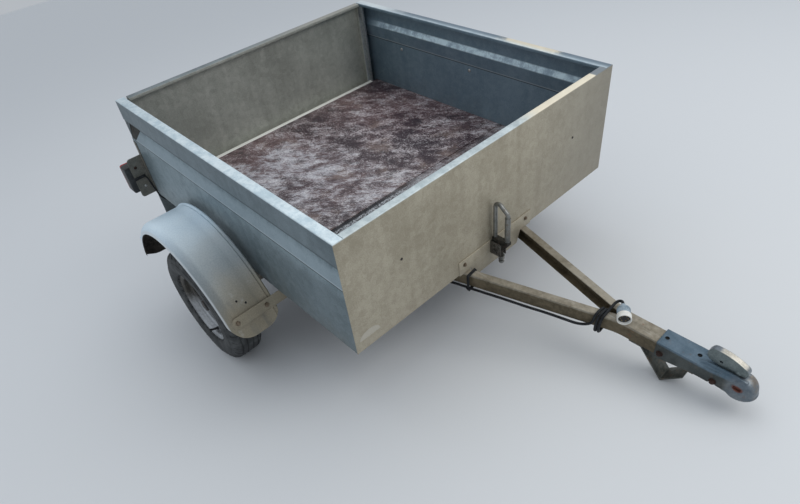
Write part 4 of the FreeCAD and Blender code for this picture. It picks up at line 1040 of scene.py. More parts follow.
def winding_point(turns):
    """A point of the winding after so many turns from the arm's lower outer edge."""
    angle = math.radians(WINDING_START_DEGREES - 360.0 * turns)
    x = WINDING_START_X + TURN_STEP * turns
    loose = 1.0 + 0.15 * math.sin(2.3 * turns) ** 2
    below = max(0.0, -math.sin(angle)) * (0.006 + 0.005 * math.cos(3.1 * turns) ** 2)
    y = ARM_HALF_WIDTH - arm_outer_y(x) + WINDING_REACH * loose * squared(math.cos(angle))
    z = ARM_MIDDLE_Z + WINDING_RISE * squared(math.sin(angle)) - below
    return Vector((x + WINDING_LEAN * math.sin(angle), y, z))


run = [Vector((x, -arm_outer_y(x) - out, z)) for x, out, z in RUN_POINTS]
winding = [winding_point(i / POINTS_IN_A_TURN) for i in range(1, round(TURNS * POINTS_IN_A_TURN))]
route = run + winding + [Vector(point) for point in LEAD_POINTS]

curve = bpy.data.curves.new("lamp_cable", "CURVE")
curve.dimensions = "3D"
curve.bevel_depth = CABLE_DIAMETER / 2
curve.bevel_resolution = 5
curve.resolution_u = 8
curve.use_fill_caps = True
spline = curve.splines.new("NURBS")
spline.points.add(len(route) - 1)
for point, place in zip(spline.points, route):
    point.co = (*(TO_ROW @ place), 1.0)
spline.order_u = 3
spline.use_endpoint_u = True
cable = linked("lamp_cable", curve)
cable.data.materials.append(cable_rubber)
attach(cable, "chassis")
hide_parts("cable_run", "cable_winding", "cable_lead")

# %% [markdown]
# The plug is turned on a lathe in the mind: a ribbed grey back that a thumb can push, a white collar,
# and a deep dark mouth with its pins. Its profile is drawn once along an upright axis, swept round, and
# then laid down on the drawbar.

# %% The plug and its pins
PLUG_AXIS = Vector((0.555, -0.832, 0.0)).normalized()
PIN_CIRCLE = 0.0088
PIN_FOOT = 0.0420
plug_place = laid_along(LEAD_POINTS[-1], PLUG_AXIS)
RIBS = [(radius, 17.0 + 3.0 * i + height) for i in range(6)
        for radius, height in ((15.7, 0.0), (15.7, 1.4), (14.9, 1.8), (14.9, 2.7))]
SHELL = [(0.0, 0.2), (4.3, 0.2), (5.4, 1.0), (6.6, 7.0), (7.4, 9.0), (11.2, 10.4), (14.0, 13.2),
         (14.9, 16.0)] + RIBS + [(15.2, 35.2), (14.5, 35.2), (14.5, 26.4), (0.0, 26.4)]
COLLAR = [(0.0, 26.8), (14.3, 26.8), (14.4, 34.8), (16.6, 35.0), (16.9, 35.6), (16.9, 48.6),
          (16.4, 49.7), (14.6, 49.7), (14.1, 49.0), (14.0, 28.0), (0.0, 28.0)]
INSERT = [(0.0, 27.0), (13.9, 27.0), (13.9, 43.4), (13.2, 44.0), (4.0, 44.0), (3.4, 43.2), (0.0, 43.2)]
PIN = [(0.0, 0.0), (1.5, 0.0), (1.5, 2.6), (1.1, 3.4), (0.0, 3.6)]
plug_shell = turned_piece("plug_shell", SHELL, plug_place)
plug_collar = turned_piece("plug_collar", COLLAR, plug_place)
plug_insert = turned_piece("plug_insert", INSERT, plug_place)
pins = []
for i in range(6):
    around = math.radians(60.0 * i)
    foot = (PIN_CIRCLE * math.cos(around), PIN_CIRCLE * math.sin(around), PIN_FOOT)
    pins.append(turned_piece("pin", PIN, plug_place @ Matrix.Translation(foot), 12))
plug_pins = merged("plug_pins", pins)
settle(plug_shell, "chassis", plug_pale, "black_plastic", "cable_plug")
settle(plug_collar, "chassis", plug_white, "black_plastic")
settle(plug_insert, "chassis", black_plastic, "black_plastic")
settle(plug_pins, "chassis", metal["dull_brass"], "black_plastic")

# %% [markdown]
# Where the cable comes out from under the tub it wears a tapered rubber sleeve with moulded rings, and a
# cable tie holds it to the arm.

# %% Sleeve and tie
SLEEVE_LENGTH = 24.0
RING_STEP = 3.6
RING_TAPER = 0.28
ELBOW_RADIUS = 0.009
TIE_BROADER = 2.2
TIE_SKEW = 0.12
sleeve_way = (run[1] - run[0]).normalized()
sleeve_profile = [(0.0, 0.0), (5.5, 0.0), (5.5, 5.0)]
for i in range(5):
    radius = 5.3 - RING_TAPER * i
    for inwards, height in ((0.5, 5.6), (0.5, 6.8), (0.0, 7.2), (0.0, 8.8)):
        sleeve_profile.append((radius - inwards, height + RING_STEP * i))
sleeve_profile += [(3.9, SLEEVE_LENGTH), (0.0, SLEEVE_LENGTH)]
sleeve_foot = laid_along(run[0] - sleeve_way * SLEEVE_LENGTH / 1000, sleeve_way)
sleeve = turned_piece("sleeve", sleeve_profile, sleeve_foot, 24)
elbow_start = run[0] - sleeve_way * 0.020
elbow_corner = elbow_start - sleeve_way * 0.014
elbow_end = elbow_start + Vector((-0.016, 0.014, 0.010))
elbow = round_bar("sleeve_elbow", bent([elbow_start, elbow_corner, elbow_end], ELBOW_RADIUS, 6), 0.0042)
sleeve = merged("cable_sleeve_ribbed", [sleeve, elbow])
settle(sleeve, "chassis", cable_rubber, "cable_rubber", "cable_sleeve")

tie_low, tie_high = level_box("cable_tie")
tie_head = block("tie_head", (tie_low.x - 0.0012, tie_low.y - 0.0014, tie_low.z + 0.0040),
                 (tie_high.x + 0.0012, tie_low.y + 0.0034, tie_low.z + 0.0100), 0.0008)
tie = smooth(merged("cable_tie_band", [softened("cable_tie", 0.0004), tie_head]))
broad = Matrix.Scale(TIE_BROADER, 4, ALONG)
askew = Matrix.Identity(4)
askew[0][1] = -TIE_SKEW
tie_root = Matrix.Translation((tie_high.x, tie_low.y, 0.0))
tie.data.transform(tie_root @ askew @ broad @ tie_root.inverted())
settle(tie, "chassis", cable_rubber, "black_plastic", "cable_tie")
print("plug, sleeve and tie made")

# %% [markdown]
# The tub's walls are one and a half millimetres of steel, folded on a brake: a hollow rail along the top,
# a pressed groove, a flange for the floor. A fold has a small radius that catches the light, and that
# bright line is what tells the eye that this is sheet metal. So each wall is drawn as the line of its
# fold, every corner eased with an arc, given its thickness, and drawn out along the wall.

# %% Side walls
FOLD_RADIUS = 0.0028
SIDE_RAIL = 0.029
END_RAIL = 0.022
RAIL_LIP = 0.012
RAIL_RETURN = 0.009
FOOT_FLANGE = 0.020
GROOVE_DEPTH = 0.009
GROOVE_NOTCH = 0.106
NOTCH_FOOT = 0.034
LINING_SHEET = 0.0008
LINING_LAP = 0.010
LINING_PAST_NOTCH = 0.012
FLANGE_FOOT = 0.010
FLANGE_SHEET = 0.0014
OUTSIDE = -HALF_WIDTH


def side_wall():
    """The right wall, with the notch at the rear end of its groove and a flange at its front edge."""
    rail = OUTSIDE + SIDE_RAIL
    fold = [(rail - RAIL_RETURN, TUB_HEIGHT - RAIL_LIP), (rail, TUB_HEIGHT - RAIL_LIP), (rail, TUB_HEIGHT),
            (OUTSIDE, TUB_HEIGHT), (OUTSIDE, GROOVE_TOP), (OUTSIDE + GROOVE_DEPTH, GROOVE_RIDGE),
            (OUTSIDE, GROOVE_BOTTOM), (OUTSIDE, 0.0), (OUTSIDE + FOOT_FLANGE, 0.0)]
    line = bent([(REAR, y, z) for y, z in fold], FOLD_RADIUS)
    wall = drawn("side_wall", thickened(line, SHEET, ALONG), (FRONT - SHEET - REAR, 0.0, 0.0))
    corners = ((REAR - EDGE, GROOVE_TOP), (REAR + GROOVE_NOTCH, GROOVE_TOP - EDGE),
               (REAR + NOTCH_FOOT, GROOVE_BOTTOM), (REAR - EDGE, GROOVE_BOTTOM))
    carved(wall, [drawn("notch", [(x, OUTSIDE - EDGE, z) for x, z in corners], (0.0, 0.013, 0.0), 0)])
    flange = block("flange", (FRONT - 2 * SHEET, OUTSIDE + SHEET / 2, SHEET),
                   (FRONT - SHEET, OUTSIDE + 0.018, GROOVE_BOTTOM), 0.0003, 1)
    return smooth(merged("side_wall", [wall, flange]), 35)


def notch_lining():
    """A doubling plate inside the wall that follows its groove and shuts the notch."""
    inside = OUTSIDE + SHEET
    fold = [(inside, GROOVE_TOP + LINING_LAP), (inside, GROOVE_TOP), (inside + GROOVE_DEPTH, GROOVE_RIDGE),
            (inside, GROOVE_BOTTOM), (inside, GROOVE_BOTTOM - LINING_LAP)]
    line = bent([(REAR + 2 * SHEET, y, z) for y, z in fold], FOLD_RADIUS)
    length = GROOVE_NOTCH + LINING_PAST_NOTCH
    return smooth(drawn("lining", thickened(line, LINING_SHEET, ALONG), ALONG * length), 35)


settle_both(side_wall(), "side_wall", "tub", side_zinc, "galvanised_steel", "side_panel_{}")
linings = settle_both(notch_lining(), "notch_lining", "tub", side_zinc, "galvanised_steel")
for lining, side in zip(linings, (-1, 1)):
    lining.data.materials.append(metal["rusty_latch"])
    for face in lining.data.polygons:
        face.material_index = 1 if face.normal.y * side > 0.2 else 0
post_flange = block("post_flange", (REAR + 0.0004, OUTSIDE - FLANGE_SHEET, FLANGE_FOOT),
                    (REAR + FLANGE_LAP, OUTSIDE, FLANGE_TOP), 0.0004)
settle_both(smooth(post_flange), "post_flange", "tub", dull_zinc, "galvanised_steel")
print("side walls made")

# %% [markdown]
# The front wall and the tailgate are folded the same way, along the other axis. The front wall's rail
# and foot stop short where the side walls' rails and feet come in, so their ends are cut back.

# %% Front wall and tailgate
GATE_FLANGE = 0.014
RAIL_CUT_FOOT = 0.300
FOOT_CUT_TOP = 0.020


def end_wall(name, fold, reach):
    line = bent([(x, -reach, z) for x, z in fold], FOLD_RADIUS)
    return drawn(name, thickened(line, SHEET, TO_RIGHT), (0.0, 2 * reach, 0.0))


rail_x = FRONT - END_RAIL
front_wall = end_wall("front_wall", (
    (FRONT - FOOT_FLANGE, 0.0), (FRONT, 0.0), (FRONT, TUB_HEIGHT), (rail_x, TUB_HEIGHT),
    (rail_x, TUB_HEIGHT - RAIL_LIP), (rail_x + RAIL_RETURN, TUB_HEIGHT - RAIL_LIP)), HALF_WIDTH)
cut_back = []
for side in (-1, 1):
    for inset, low, high in ((SIDE_RAIL, RAIL_CUT_FOOT, TUB_HEIGHT + EDGE),
                             (FOOT_FLANGE + 0.0003, -EDGE, FOOT_CUT_TOP)):
        near, far = sorted((side * (HALF_WIDTH - inset), side * (HALF_WIDTH + 2 * EDGE)))
        cut_back.append(block("cut", (rail_x - 2 * EDGE, near, low), (FRONT - SHEET - 0.0001, far, high)))
carved(front_wall, cut_back)
settle(smooth(front_wall, 35), "tub", front_zinc, "galvanised_steel", "front_panel")

gate_low, gate_high = level_box("tailgate")
rail_x = REAR + END_RAIL
gate = end_wall("gate", (
    (rail_x - RAIL_RETURN, TUB_HEIGHT - RAIL_LIP), (rail_x, TUB_HEIGHT - RAIL_LIP), (rail_x, TUB_HEIGHT),
    (REAR, TUB_HEIGHT), (REAR, gate_low.z), (REAR + GATE_FLANGE, gate_low.z)), gate_high.y)
gate_parts = [gate]
for side in (-1, 1):
    near, far = sorted((side * (gate_high.y - SHEET), side * gate_high.y))
    gate_parts.append(block("gate_flange", (REAR + SHEET / 2, near, gate_low.z + SHEET / 2),
                            (REAR + GATE_FLANGE, far, TUB_HEIGHT - SHEET / 2), 0.0003, 1))
tailgate = smooth(merged("tailgate_sheet", gate_parts), 35)
settle(tailgate, "tailgate", gate_zinc, "galvanised_steel", "tailgate")
print("front wall and tailgate made")

# %% [markdown]
# Many pieces are right in the model and only too sharp: bearers, sill, skirt, posts, brackets, straps,
# hangers. For these a copy of the model's mesh is cleaned of its loose triangles and its edges are taken
# off, half a millimetre or so, which is what a sheared or sawn edge looks like.

# %% Pieces with eased edges
SOFTENED = (
    # node, body, finish, slot, width of the eased edge
    ("floor_bearers", "tub", dull_zinc, "galvanised_steel", 0.0005),
    ("floor_board_rear", "tub", rear_floor, "phenolic_plywood", 0.0009),
    ("floor_board_front", "tub", front_floor, "phenolic_plywood", 0.0009),
    ("rear_sill", "tub", sill_zinc, "galvanised_steel", 0.0005),
    ("rear_skirt", "tub", side_zinc, "galvanised_steel", 0.0005),
    ("rear_posts", "tub", trim_zinc, "galvanised_steel", 0.0005),
    ("lamp_housing_{}", "tub", black_plastic, "black_plastic", 0.0012),
    ("gate_hinges", "tub", trim_zinc, "galvanised_steel", 0.0004),
    ("gate_leaves", "tailgate", trim_zinc, "galvanised_steel", 0.0004),
    ("gate_catches", "tailgate", trim_zinc, "galvanised_steel", 0.0008),
    ("guard_straps_{}", "tub", guard_zinc, "galvanised_guard", 0.0009),
    ("tub_saddles", "tub", dull_zinc, "galvanised_steel", 0.0008),
    ("axle_tube", "chassis", dull_zinc, "galvanised_steel", 0.0006),
    ("stub_axles", "chassis", metal["dark_steel"], "galvanised_steel", 0.0008),
    ("drawbar_arm_{}", "chassis", drawbar_zinc, "drawbar_steel", 0.0012),
    ("axle_hangers", "chassis", drawbar_zinc, "drawbar_steel", 0.0010),
    ("drawbar_crossbar", "chassis", drawbar_zinc, "drawbar_steel", 0.0010),
    ("parking_foot", "chassis", metal["zinc_foot"], "drawbar_steel", 0.0010),
    ("latch_plate", "tub", front_zinc, "galvanised_steel", 0.0007),
    ("latch_bracket", "tub", metal["worn_bracket"], "galvanised_steel", 0.0007),
    ("hub_{}", "wheel_{}", metal["dark_steel"], "zinc_plated_steel", 0.0008),
)
for node, body, finish, slot_name, bevel in SOFTENED:
    for side in SIDES if "{}" in node else SIDES[:1]:
        piece = softened(node.format(side), bevel, 3 if bevel > 0.0008 else 2)
        settle(piece, body.format(side), finish, slot_name, node.format(side))
print(len(SOFTENED), "rows of pieces eased")

# %% [markdown]
# The lamp brackets are cut from sheet with large round corners, which are bevelled in edit mode before
# the thin edges are. The seam that closes the drawbar's nose is a thin round bead.

# %% Lamp brackets and nose seam
BRACKET_CORNER = 0.010
SEAM_PLACE = (0.968, 0.0, -0.0018)
SEAM_LENGTH = 0.110
SEAM_RADIUS = 0.0016
bracket_low, bracket_high = level_box("lamp_brackets")


def bracket_corner(middle):
    at_end = min(middle.z - bracket_low.z, bracket_high.z - middle.z) < EDGE
    return at_end and abs(abs(middle.y) - bracket_high.y) < EDGE


brackets = softened("lamp_brackets", 0.0)
with editing(brackets):
    select(brackets, "edges", bracket_corner)
    bpy.ops.mesh.bevel(offset=BRACKET_CORNER, segments=6)
settle(smooth(eased(brackets, 0.0006)), "tub", dull_zinc, "galvanised_steel", "lamp_brackets")
seam = disc("nose_weld", SEAM_RADIUS, SEAM_LENGTH, SEAM_PLACE, ALONG, 16, 0.0006)
settle(smooth(seam), "chassis", drawbar_zinc, "drawbar_steel")

# %% [markdown]
# A mudguard is a strip rolled to a big radius, its outer shoulder turned down over the tyre and its lip
# rolled round a wire, with a small pressed bead along the inner edge. The section is drawn once and
# swept about the guard's own centre. The corners of both ends are then cut round.

# %% Mudguards
GUARD_CENTRE = Vector((-0.075, 0.0, -0.180))
GUARD_RADIUS = 0.320
GUARD_INNER = 0.522
GUARD_ENDS = (19.5, 169.0)
GUARD_CORNER = 0.058
GUARD_INNER_CORNER = 0.044
GUARD_SHOULDER = 0.0250
GUARD_HOLES = (
    # degrees round the mudguard, y
    (38.8, -0.607),
    (36.0, -0.588),
)
CUTTER_MARGIN = 0.006
BEAD = ((0.0, 0.0030), (0.0012, 0.0040), (0.0036, 0.0040), (0.0052, 0.0026), (0.0066, 0.0006), (0.0090, 0.0),
        (0.0106, 0.0012), (0.0126, 0.0012), (0.0142, 0.0), (0.04, 0.0))
LIP = ((0.0010, -0.0240), (0.0002, -0.0252), (0.0, -0.0268), (0.0008, -0.0284), (0.0024, -0.0288))


def guard_ways(degrees):
    """Out from the guard's centre and on round it, at so many degrees."""
    turn = math.radians(degrees)
    return Vector((math.cos(turn), 0.0, math.sin(turn))), Vector((-math.sin(turn), 0.0, math.cos(turn)))


def guard_section():
    """Outer face from the inner edge to the lip: distance across, height above the crown."""
    points = [(GUARD_INNER + out, rise) for out, rise in BEAD]
    points.append((GUARD_OUTER - 0.040, 0.0))
    for i in range(9):
        turn = math.radians(10.0 * i)
        points.append((GUARD_OUTER - GUARD_SHOULDER * (1.0 - math.sin(turn)) - 0.0012,
                       -GUARD_SHOULDER * (1.0 - math.cos(turn))))
    return points + [(GUARD_OUTER - inwards, rise) for inwards, rise in LIP]


def corner_cutter(end, way, edge_y, outwards, radius):
    """The waste outside one rounded corner of the strip, standing through it along the radius."""
    up, onward = guard_ways(end)
    waste_y = edge_y + outwards * CUTTER_MARGIN
    flat = [(CUTTER_MARGIN, waste_y), (-radius, waste_y)]
    for i in range(13):
        swing = math.radians(7.5 * i)
        inset = radius * (1.0 - math.cos(swing))
        flat.append((-radius + radius * math.sin(swing), edge_y - outwards * inset))
    flat.append((CUTTER_MARGIN, edge_y - outwards * radius))
    root = GUARD_CENTRE + up * (GUARD_RADIUS - 0.060)
    return drawn("corner", [root + onward * way * s + TO_LEFT * y for s, y in flat], up * 0.085, 0)


def mudguard():
    start, finish = GUARD_ENDS
    up, onward = guard_ways(start)
    line = [GUARD_CENTRE + up * (GUARD_RADIUS + rise) - TO_LEFT * y for y, rise in guard_section()]
    strip = spun("mudguard", thickened(line, SHEET, -onward), GUARD_CENTRE, finish - start, 110)
    cutters = []
    for end, way in ((start, -1), (finish, 1)):
        cutters.append(corner_cutter(end, way, -GUARD_OUTER, -1, GUARD_CORNER))
        cutters.append(corner_cutter(end, way, -GUARD_INNER, 1, GUARD_INNER_CORNER))
    for degrees, y in GUARD_HOLES:
        up = guard_ways(degrees)[0]
        cutters.append(disc("hole", 0.0032, 0.030, GUARD_CENTRE + up * GUARD_RADIUS + TO_LEFT * y, up, 20))
    return smooth(carved(strip, cutters), 40)


def lined(obj, side, material):
    """Give a second material to the faces of a guard that look at its wheel."""
    obj.data.materials.append(material)
    centre = TO_ROW @ GUARD_CENTRE
    for face in obj.data.polygons:
        away = face.center - centre
        away.y = 0.0
        inwards = face.normal.dot(away.normalized())
        if inwards < -0.2 or (inwards < 0.2 and face.normal.y * side < -0.3):
            face.material_index = 1


guards = settle_both(mudguard(), "mudguard_rolled", "tub", guard_zinc, "galvanised_guard", "mudguard_{}")
for guard, side in zip(guards, (-1, 1)):
    lined(guard, side, metal["guard_underside"])
print("guards", [len(guard.data.polygons) for guard in guards], "faces")

# %% [markdown]
# The wheels are small and fat. The tyre's section has four worn grooves, a round shoulder and a full
# sidewall; it is swept round the axle, and moulded notches are pressed into its shoulders. The rim is
# two pressed steel halves with steps in it, and the disc is bolted to the hub.

# %% Tyres
TREAD = [(0.0, 0.1870), (0.0068, 0.1869), (0.0076, 0.1838), (0.0108, 0.1838), (0.0116, 0.1868),
         (0.0232, 0.1864), (0.0240, 0.1834), (0.0268, 0.1833), (0.0276, 0.1860)]
SHOULDER = [(0.0330, 0.1846), (0.0385, 0.1815), (0.0425, 0.1768), (0.0455, 0.1710)]
SIDEWALL = [(0.0484, 0.1640), (0.0499, 0.1602), (0.0509, 0.1598), (0.0514, 0.1572), (0.0508, 0.1562),
            (0.0516, 0.1510), (0.0519, 0.1440), (0.0514, 0.1370), (0.0500, 0.1290), (0.0478, 0.1226),
            (0.0486, 0.1214), (0.0478, 0.1196), (0.0448, 0.1176), (0.0418, 0.1158), (0.0380, 0.1130),
            (0.0366, 0.1060), (0.0340, 0.1022), (0.0200, 0.1012)]
TYRE_STEPS = 108
NOTCH_EVERY = 3
NOTCHED = (0.0285, 0.0440)
NOTCH_INSET = 0.0012
NOTCH_DEPTH = 0.0020


def wheel_points(points):
    """(distance out from the wheel's middle, radius) as points above the right wheel's axle."""
    return [Vector((AXLE_LEVEL.x, -WHEEL_Y - out, AXLE_LEVEL.z + radius)) for out, radius in points]


def notch_face(middle):
    """True for the shoulder faces, both sides, of every third step round the tyre."""
    out = abs(-middle.y - WHEEL_Y)
    around = math.degrees(math.atan2(middle.z - AXLE_LEVEL.z, middle.x - AXLE_LEVEL.x)) % 360.0
    return NOTCHED[0] < out < NOTCHED[1] and int(around / (360.0 / TYRE_STEPS)) % NOTCH_EVERY == 0


half_tyre = TREAD + SHOULDER + SIDEWALL
tyre_section = half_tyre + [(-out, radius) for out, radius in half_tyre[:0:-1]]
tyre = spun("tyre", wheel_points(tyre_section), AXLE_LEVEL, steps=TYRE_STEPS)
with editing(tyre):
    print("tyre notches in", select(tyre, "faces", notch_face), "faces")
    bpy.ops.mesh.inset(thickness=NOTCH_INSET, depth=-NOTCH_DEPTH)
settle_both(smooth(tyre, 38), "tyre_moulded", "wheel_{}", rubber, "tyre_rubber", "tyre_{}")

# %% Rims
RIM_LINE = [(0.0418, 0.1122), (0.0410, 0.1140), (0.0384, 0.1140), (0.0378, 0.1078), (0.0352, 0.1022),
            (0.0240, 0.0992), (0.0205, 0.0845)]
DISC_LINE = [(0.0020, 0.0862), (0.0120, 0.0765), (0.0165, 0.0600), (0.0075, 0.0450), (0.0068, 0.0205)]
RIM_SHEET = 0.0025
DISC_SHEET = 0.0028
rim_line = RIM_LINE + [(-out, radius) for out, radius in RIM_LINE[::-1]]
rim = spun("rim_barrel", thickened(bent(wheel_points(rim_line), 0.0030), -RIM_SHEET, ALONG), AXLE_LEVEL)
rim_disc = spun("rim_disc", thickened(bent(wheel_points(DISC_LINE), 0.0060), DISC_SHEET, ALONG), AXLE_LEVEL)
rim = smooth(merged("rim", [rim, rim_disc]), 40)
settle_both(rim, "rim_pressed", "wheel_{}", rim_zinc, "zinc_plated_steel", "rim_{}")

# %% [markdown]
# Bolts and screws are drawn once, in shares of their head's radius, so that one function makes every
# size. Four bolts hold each wheel, and the valve leans out through the rim.

# %% Bolts, screws and valves
WASHER_REACH = 1.35
WASHER_THICK = 0.22
HEAD_HIGH = 0.75
BOSS_REACH = 0.80
BOSS_HIGH = 0.14
SCREW = ((0.0, -0.15), (1.0, -0.15), (1.0, 0.12), (0.93, 0.28), (0.75, 0.44), (0.45, 0.55), (0.0, 0.60))
VALVE = ((0.0, 0.0), (5.2, 0.0), (5.2, 2.0), (3.9, 4.0), (3.3, 12.0), (3.1, 20.0), (3.9, 21.0), (3.9, 30.0),
         (3.2, 31.5), (0.0, 31.5))
VALVE_WAY = (0.10, -0.86, 0.42)
BOLT_CIRCLE = 0.033
BOLT_FACE = 0.0098


def hex_bolt(place, axis, size, washer=True):
    """A hexagon head on its washer; size is the head's radius, in metres."""
    axis = Vector(axis).normalized()
    place = Vector(place)
    base = size * WASHER_THICK if washer else 0.0
    parts = []
    if washer:
        middle = place + axis * base / 2
        parts.append(disc("washer", size * WASHER_REACH, base, middle, axis, 28, size * 0.06, 1))
    head_place = place + axis * (base + size * HEAD_HIGH / 2)
    boss_place = place + axis * (base + size * 0.80)
    parts.append(disc("head", size, size * HEAD_HIGH, head_place, axis, 6, size * 0.10))
    parts.append(disc("boss", size * BOSS_REACH, size * BOSS_HIGH, boss_place, axis, 20, size * 0.05, 1))
    return smooth(merged("bolt", parts), 30)


def round_screw(place, axis, size):
    """A low domed head, its radius in metres."""
    profile = [(radius * size * 1000, height * size * 1000) for radius, height in SCREW]
    return turned_piece("screw", profile, laid_along(place, axis), 24)


wheel_bolts = []
for i in range(4):
    around = math.radians(45.0 + 90.0 * i)
    from_axle = (BOLT_CIRCLE * math.cos(around), -WHEEL_Y - BOLT_FACE, BOLT_CIRCLE * math.sin(around))
    wheel_bolts.append(hex_bolt(AXLE_LEVEL + Vector(from_axle), TO_RIGHT, 0.0075))
bolts = merged("bolts", wheel_bolts)
settle_both(bolts, "wheel_bolts", "wheel_{}", metal["zinc_bolt"], "zinc_plated_steel")
valve_root = AXLE_LEVEL + Vector((0.010, -WHEEL_Y - 0.0255, -0.0950))
valve = turned_piece("valve", VALVE, laid_along(valve_root, VALVE_WAY), 20)
settle_both(valve, "valve", "wheel_{}", black_plastic, "tyre_rubber")
print("wheels made")

# %% [markdown]
# The coupling head is pressed from thick plate: soft edges everywhere, a domed nose over the ball, a
# low hump that holds the lever. A voxel remesh followed by smoothing rounds every edge of the model's
# shape in the same way as a press does.

# %% Coupling head and lever
CHEEK_Y = 0.0275
SLOT_CUT = Vector((0.008, 0.004, 0.003))
head = pressed("coupling_head", 0.0011, 7, 60000)
slot_places = [Vector((SLOT_X, side * CHEEK_Y, SLOT_Z)) for side in (-1, 1)]
carved(head, [block("slot", place - SLOT_CUT, place + SLOT_CUT, 0.0012) for place in slot_places])
settle(smooth(head, 50), "chassis", coupling_zinc, "coupling_steel", "coupling_head")
# painted shade: thin near-black discs at the bottom of the drain holes
grime = [disc("grime", HOLE_RADIUS, 0.001, (x, 0.0, -0.0012), UPWARD, 20) for x in COUPLING_HOLES]
settle(merged("hole_grime", grime), "chassis", metal["rusty_latch"], "coupling_steel")
lever = pressed("coupling_lever", 0.0008, 5, 16000)
settle(smooth(lever, 50), "chassis", lever_zinc, "coupling_steel", "coupling_lever")

# %% [markdown]
# The latch handle is bent from round bar with a thicker grip on its outer leg. A short rod under the
# bracket carries a coil spring and a nut.

# %% Latch handle and spring
HANDLE_BEND = 0.011
HANDLE_RISE = 0.0070
HANDLE_BAR = 0.0058
HANDLE_GRIP = 0.0076
HANDLE_LEGS = (0.0054, 0.0066)
PAWL_TOP = 0.058
ROD_RADIUS = 0.0044
ROD_TOP = 0.028
ROD_FOOT = -0.019
COIL_TOP = 0.0010
COIL_STEP = 0.0042
MARGIN = Vector((0.01, 0.01, 0.01))
handle_low, handle_high = level_box("latch_handle")
handle_y = (handle_low.y + handle_high.y) / 2
pawl = pressed("latch_handle", 0.0008, 4, 24000)
above = Vector((handle_low.x - MARGIN.x, handle_low.y - MARGIN.y, PAWL_TOP))
carved(pawl, [block("above", above, handle_high + MARGIN)])
settle(pawl, "tub", metal["rusty_latch"], "galvanised_steel", "latch_handle")

back_x = handle_low.x + HANDLE_LEGS[0]
front_x = handle_high.x - HANDLE_LEGS[1]
loop = [(back_x, handle_y, PAWL_TOP - 0.030), (back_x, handle_y, handle_high.z + HANDLE_RISE),
        (front_x, handle_y, handle_high.z - 0.0260), (front_x, handle_y, PAWL_TOP - 0.004)]
loop = bent(loop, HANDLE_BEND, 10)
bar = round_bar("latch_grip_bar", loop, HANDLE_BAR)
palm = round_bar("latch_grip_sleeve", [loop[-1] + UPWARD * 0.006, loop[-2] - UPWARD * 0.004], HANDLE_GRIP)
handle = smooth(merged("latch_handle_bent", [bar, palm]), 50)
settle(handle, "tub", metal["zinc_latch"], "galvanised_steel")
rod_x = level_box("latch_rod")[0].x + 0.008
rod_middle = (rod_x, handle_y, (ROD_TOP + ROD_FOOT) / 2)
rod = disc("latch_rod_short", ROD_RADIUS, ROD_TOP - ROD_FOOT, rod_middle, UPWARD, 20, 0.0008)
settle(smooth(rod), "tub", metal["rusty_latch"], "galvanised_steel", "latch_rod")
coils = [hex_bolt((rod_x, handle_y, ROD_FOOT + 0.0045), -UPWARD, 0.0080, False)]
for i in range(3):
    coils.append(added("coil", bpy.ops.mesh.primitive_torus_add, rotation=(0.14, 0.0, 0.0),
                       location=(rod_x, handle_y, COIL_TOP - COIL_STEP * i), major_radius=0.0074,
                       minor_radius=0.0013, major_segments=28, minor_segments=8))
settle(smooth(merged("latch_spring", coils), 60), "tub", metal["zinc_latch"], "galvanised_steel")
print("coupling and latch made")

# %% [markdown]
# The lamps have a red lens with fine upright ribs moulded into it, and a thin black lead that crosses the
# bracket and slips under the tub.

# %% Lamp lenses and leads
LENS_LAP = 0.0044
LENS_RIBS = 13
RIB_RADIUS = 0.0016
RIB_MARGIN = 0.009
RIB_SHORT = 0.008
RIB_PROUD = 0.0005
LEAD_RADIUS = 0.0024
LAMP_LEAD = ((-0.5310, -0.5520, 0.0720), (-0.5285, -0.5360, 0.0790), (-0.5275, -0.5195, 0.0815),
             (-0.5270, -0.5115, 0.0660), (-0.5270, -0.5075, 0.0420), (-0.5200, -0.5040, 0.0140),
             (-0.5020, -0.5030, -0.0040), (-0.4800, -0.4960, -0.0100), (-0.4600, -0.4780, -0.0120))


def ribbed_lens(side):
    """The model's lens with ribs, widened so that it laps its housing all round."""
    node = "lamp_lens_" + side
    low, high = level_box(node)
    centre = (low + high) / 2
    parts = [softened(node, 0.0010, 3)]
    for i in range(LENS_RIBS):
        y = low.y + RIB_MARGIN + (high.y - low.y - 2 * RIB_MARGIN) * i / (LENS_RIBS - 1)
        place = (low.x + RIB_RADIUS - RIB_PROUD, y, centre.z)
        parts.append(disc("rib", RIB_RADIUS, high.z - low.z - 2 * RIB_SHORT, place, UPWARD, 10, 0.0006))
    lens = merged("lens_ribbed_" + side, parts)
    for i, way in ((1, TO_LEFT), (2, UPWARD)):
        wider = Matrix.Scale(1.0 + 2 * LENS_LAP / (high[i] - low[i]), 4, way)
        lens.data.transform(Matrix.Translation(centre) @ wider @ Matrix.Translation(-centre))
    return smooth(lens, 40)


for side in SIDES:
    settle(ribbed_lens(side), "tub", lens_red, "red_lens", "lamp_lens_" + side)
lead = round_bar("lamp_wiring", bent(LAMP_LEAD, 0.012, 5), LEAD_RADIUS)
settle_both(lead, "lamp_wiring", "tub", cable_rubber, "black_plastic")

# %% [markdown]
# Last come the fasteners. Their places are read from the photograph where it shows them, and put where
# such a trailer has them elsewhere. Two tables hold them, those that come in pairs and those that don't,
# and all that look alike and ride on the same body are joined into one piece.

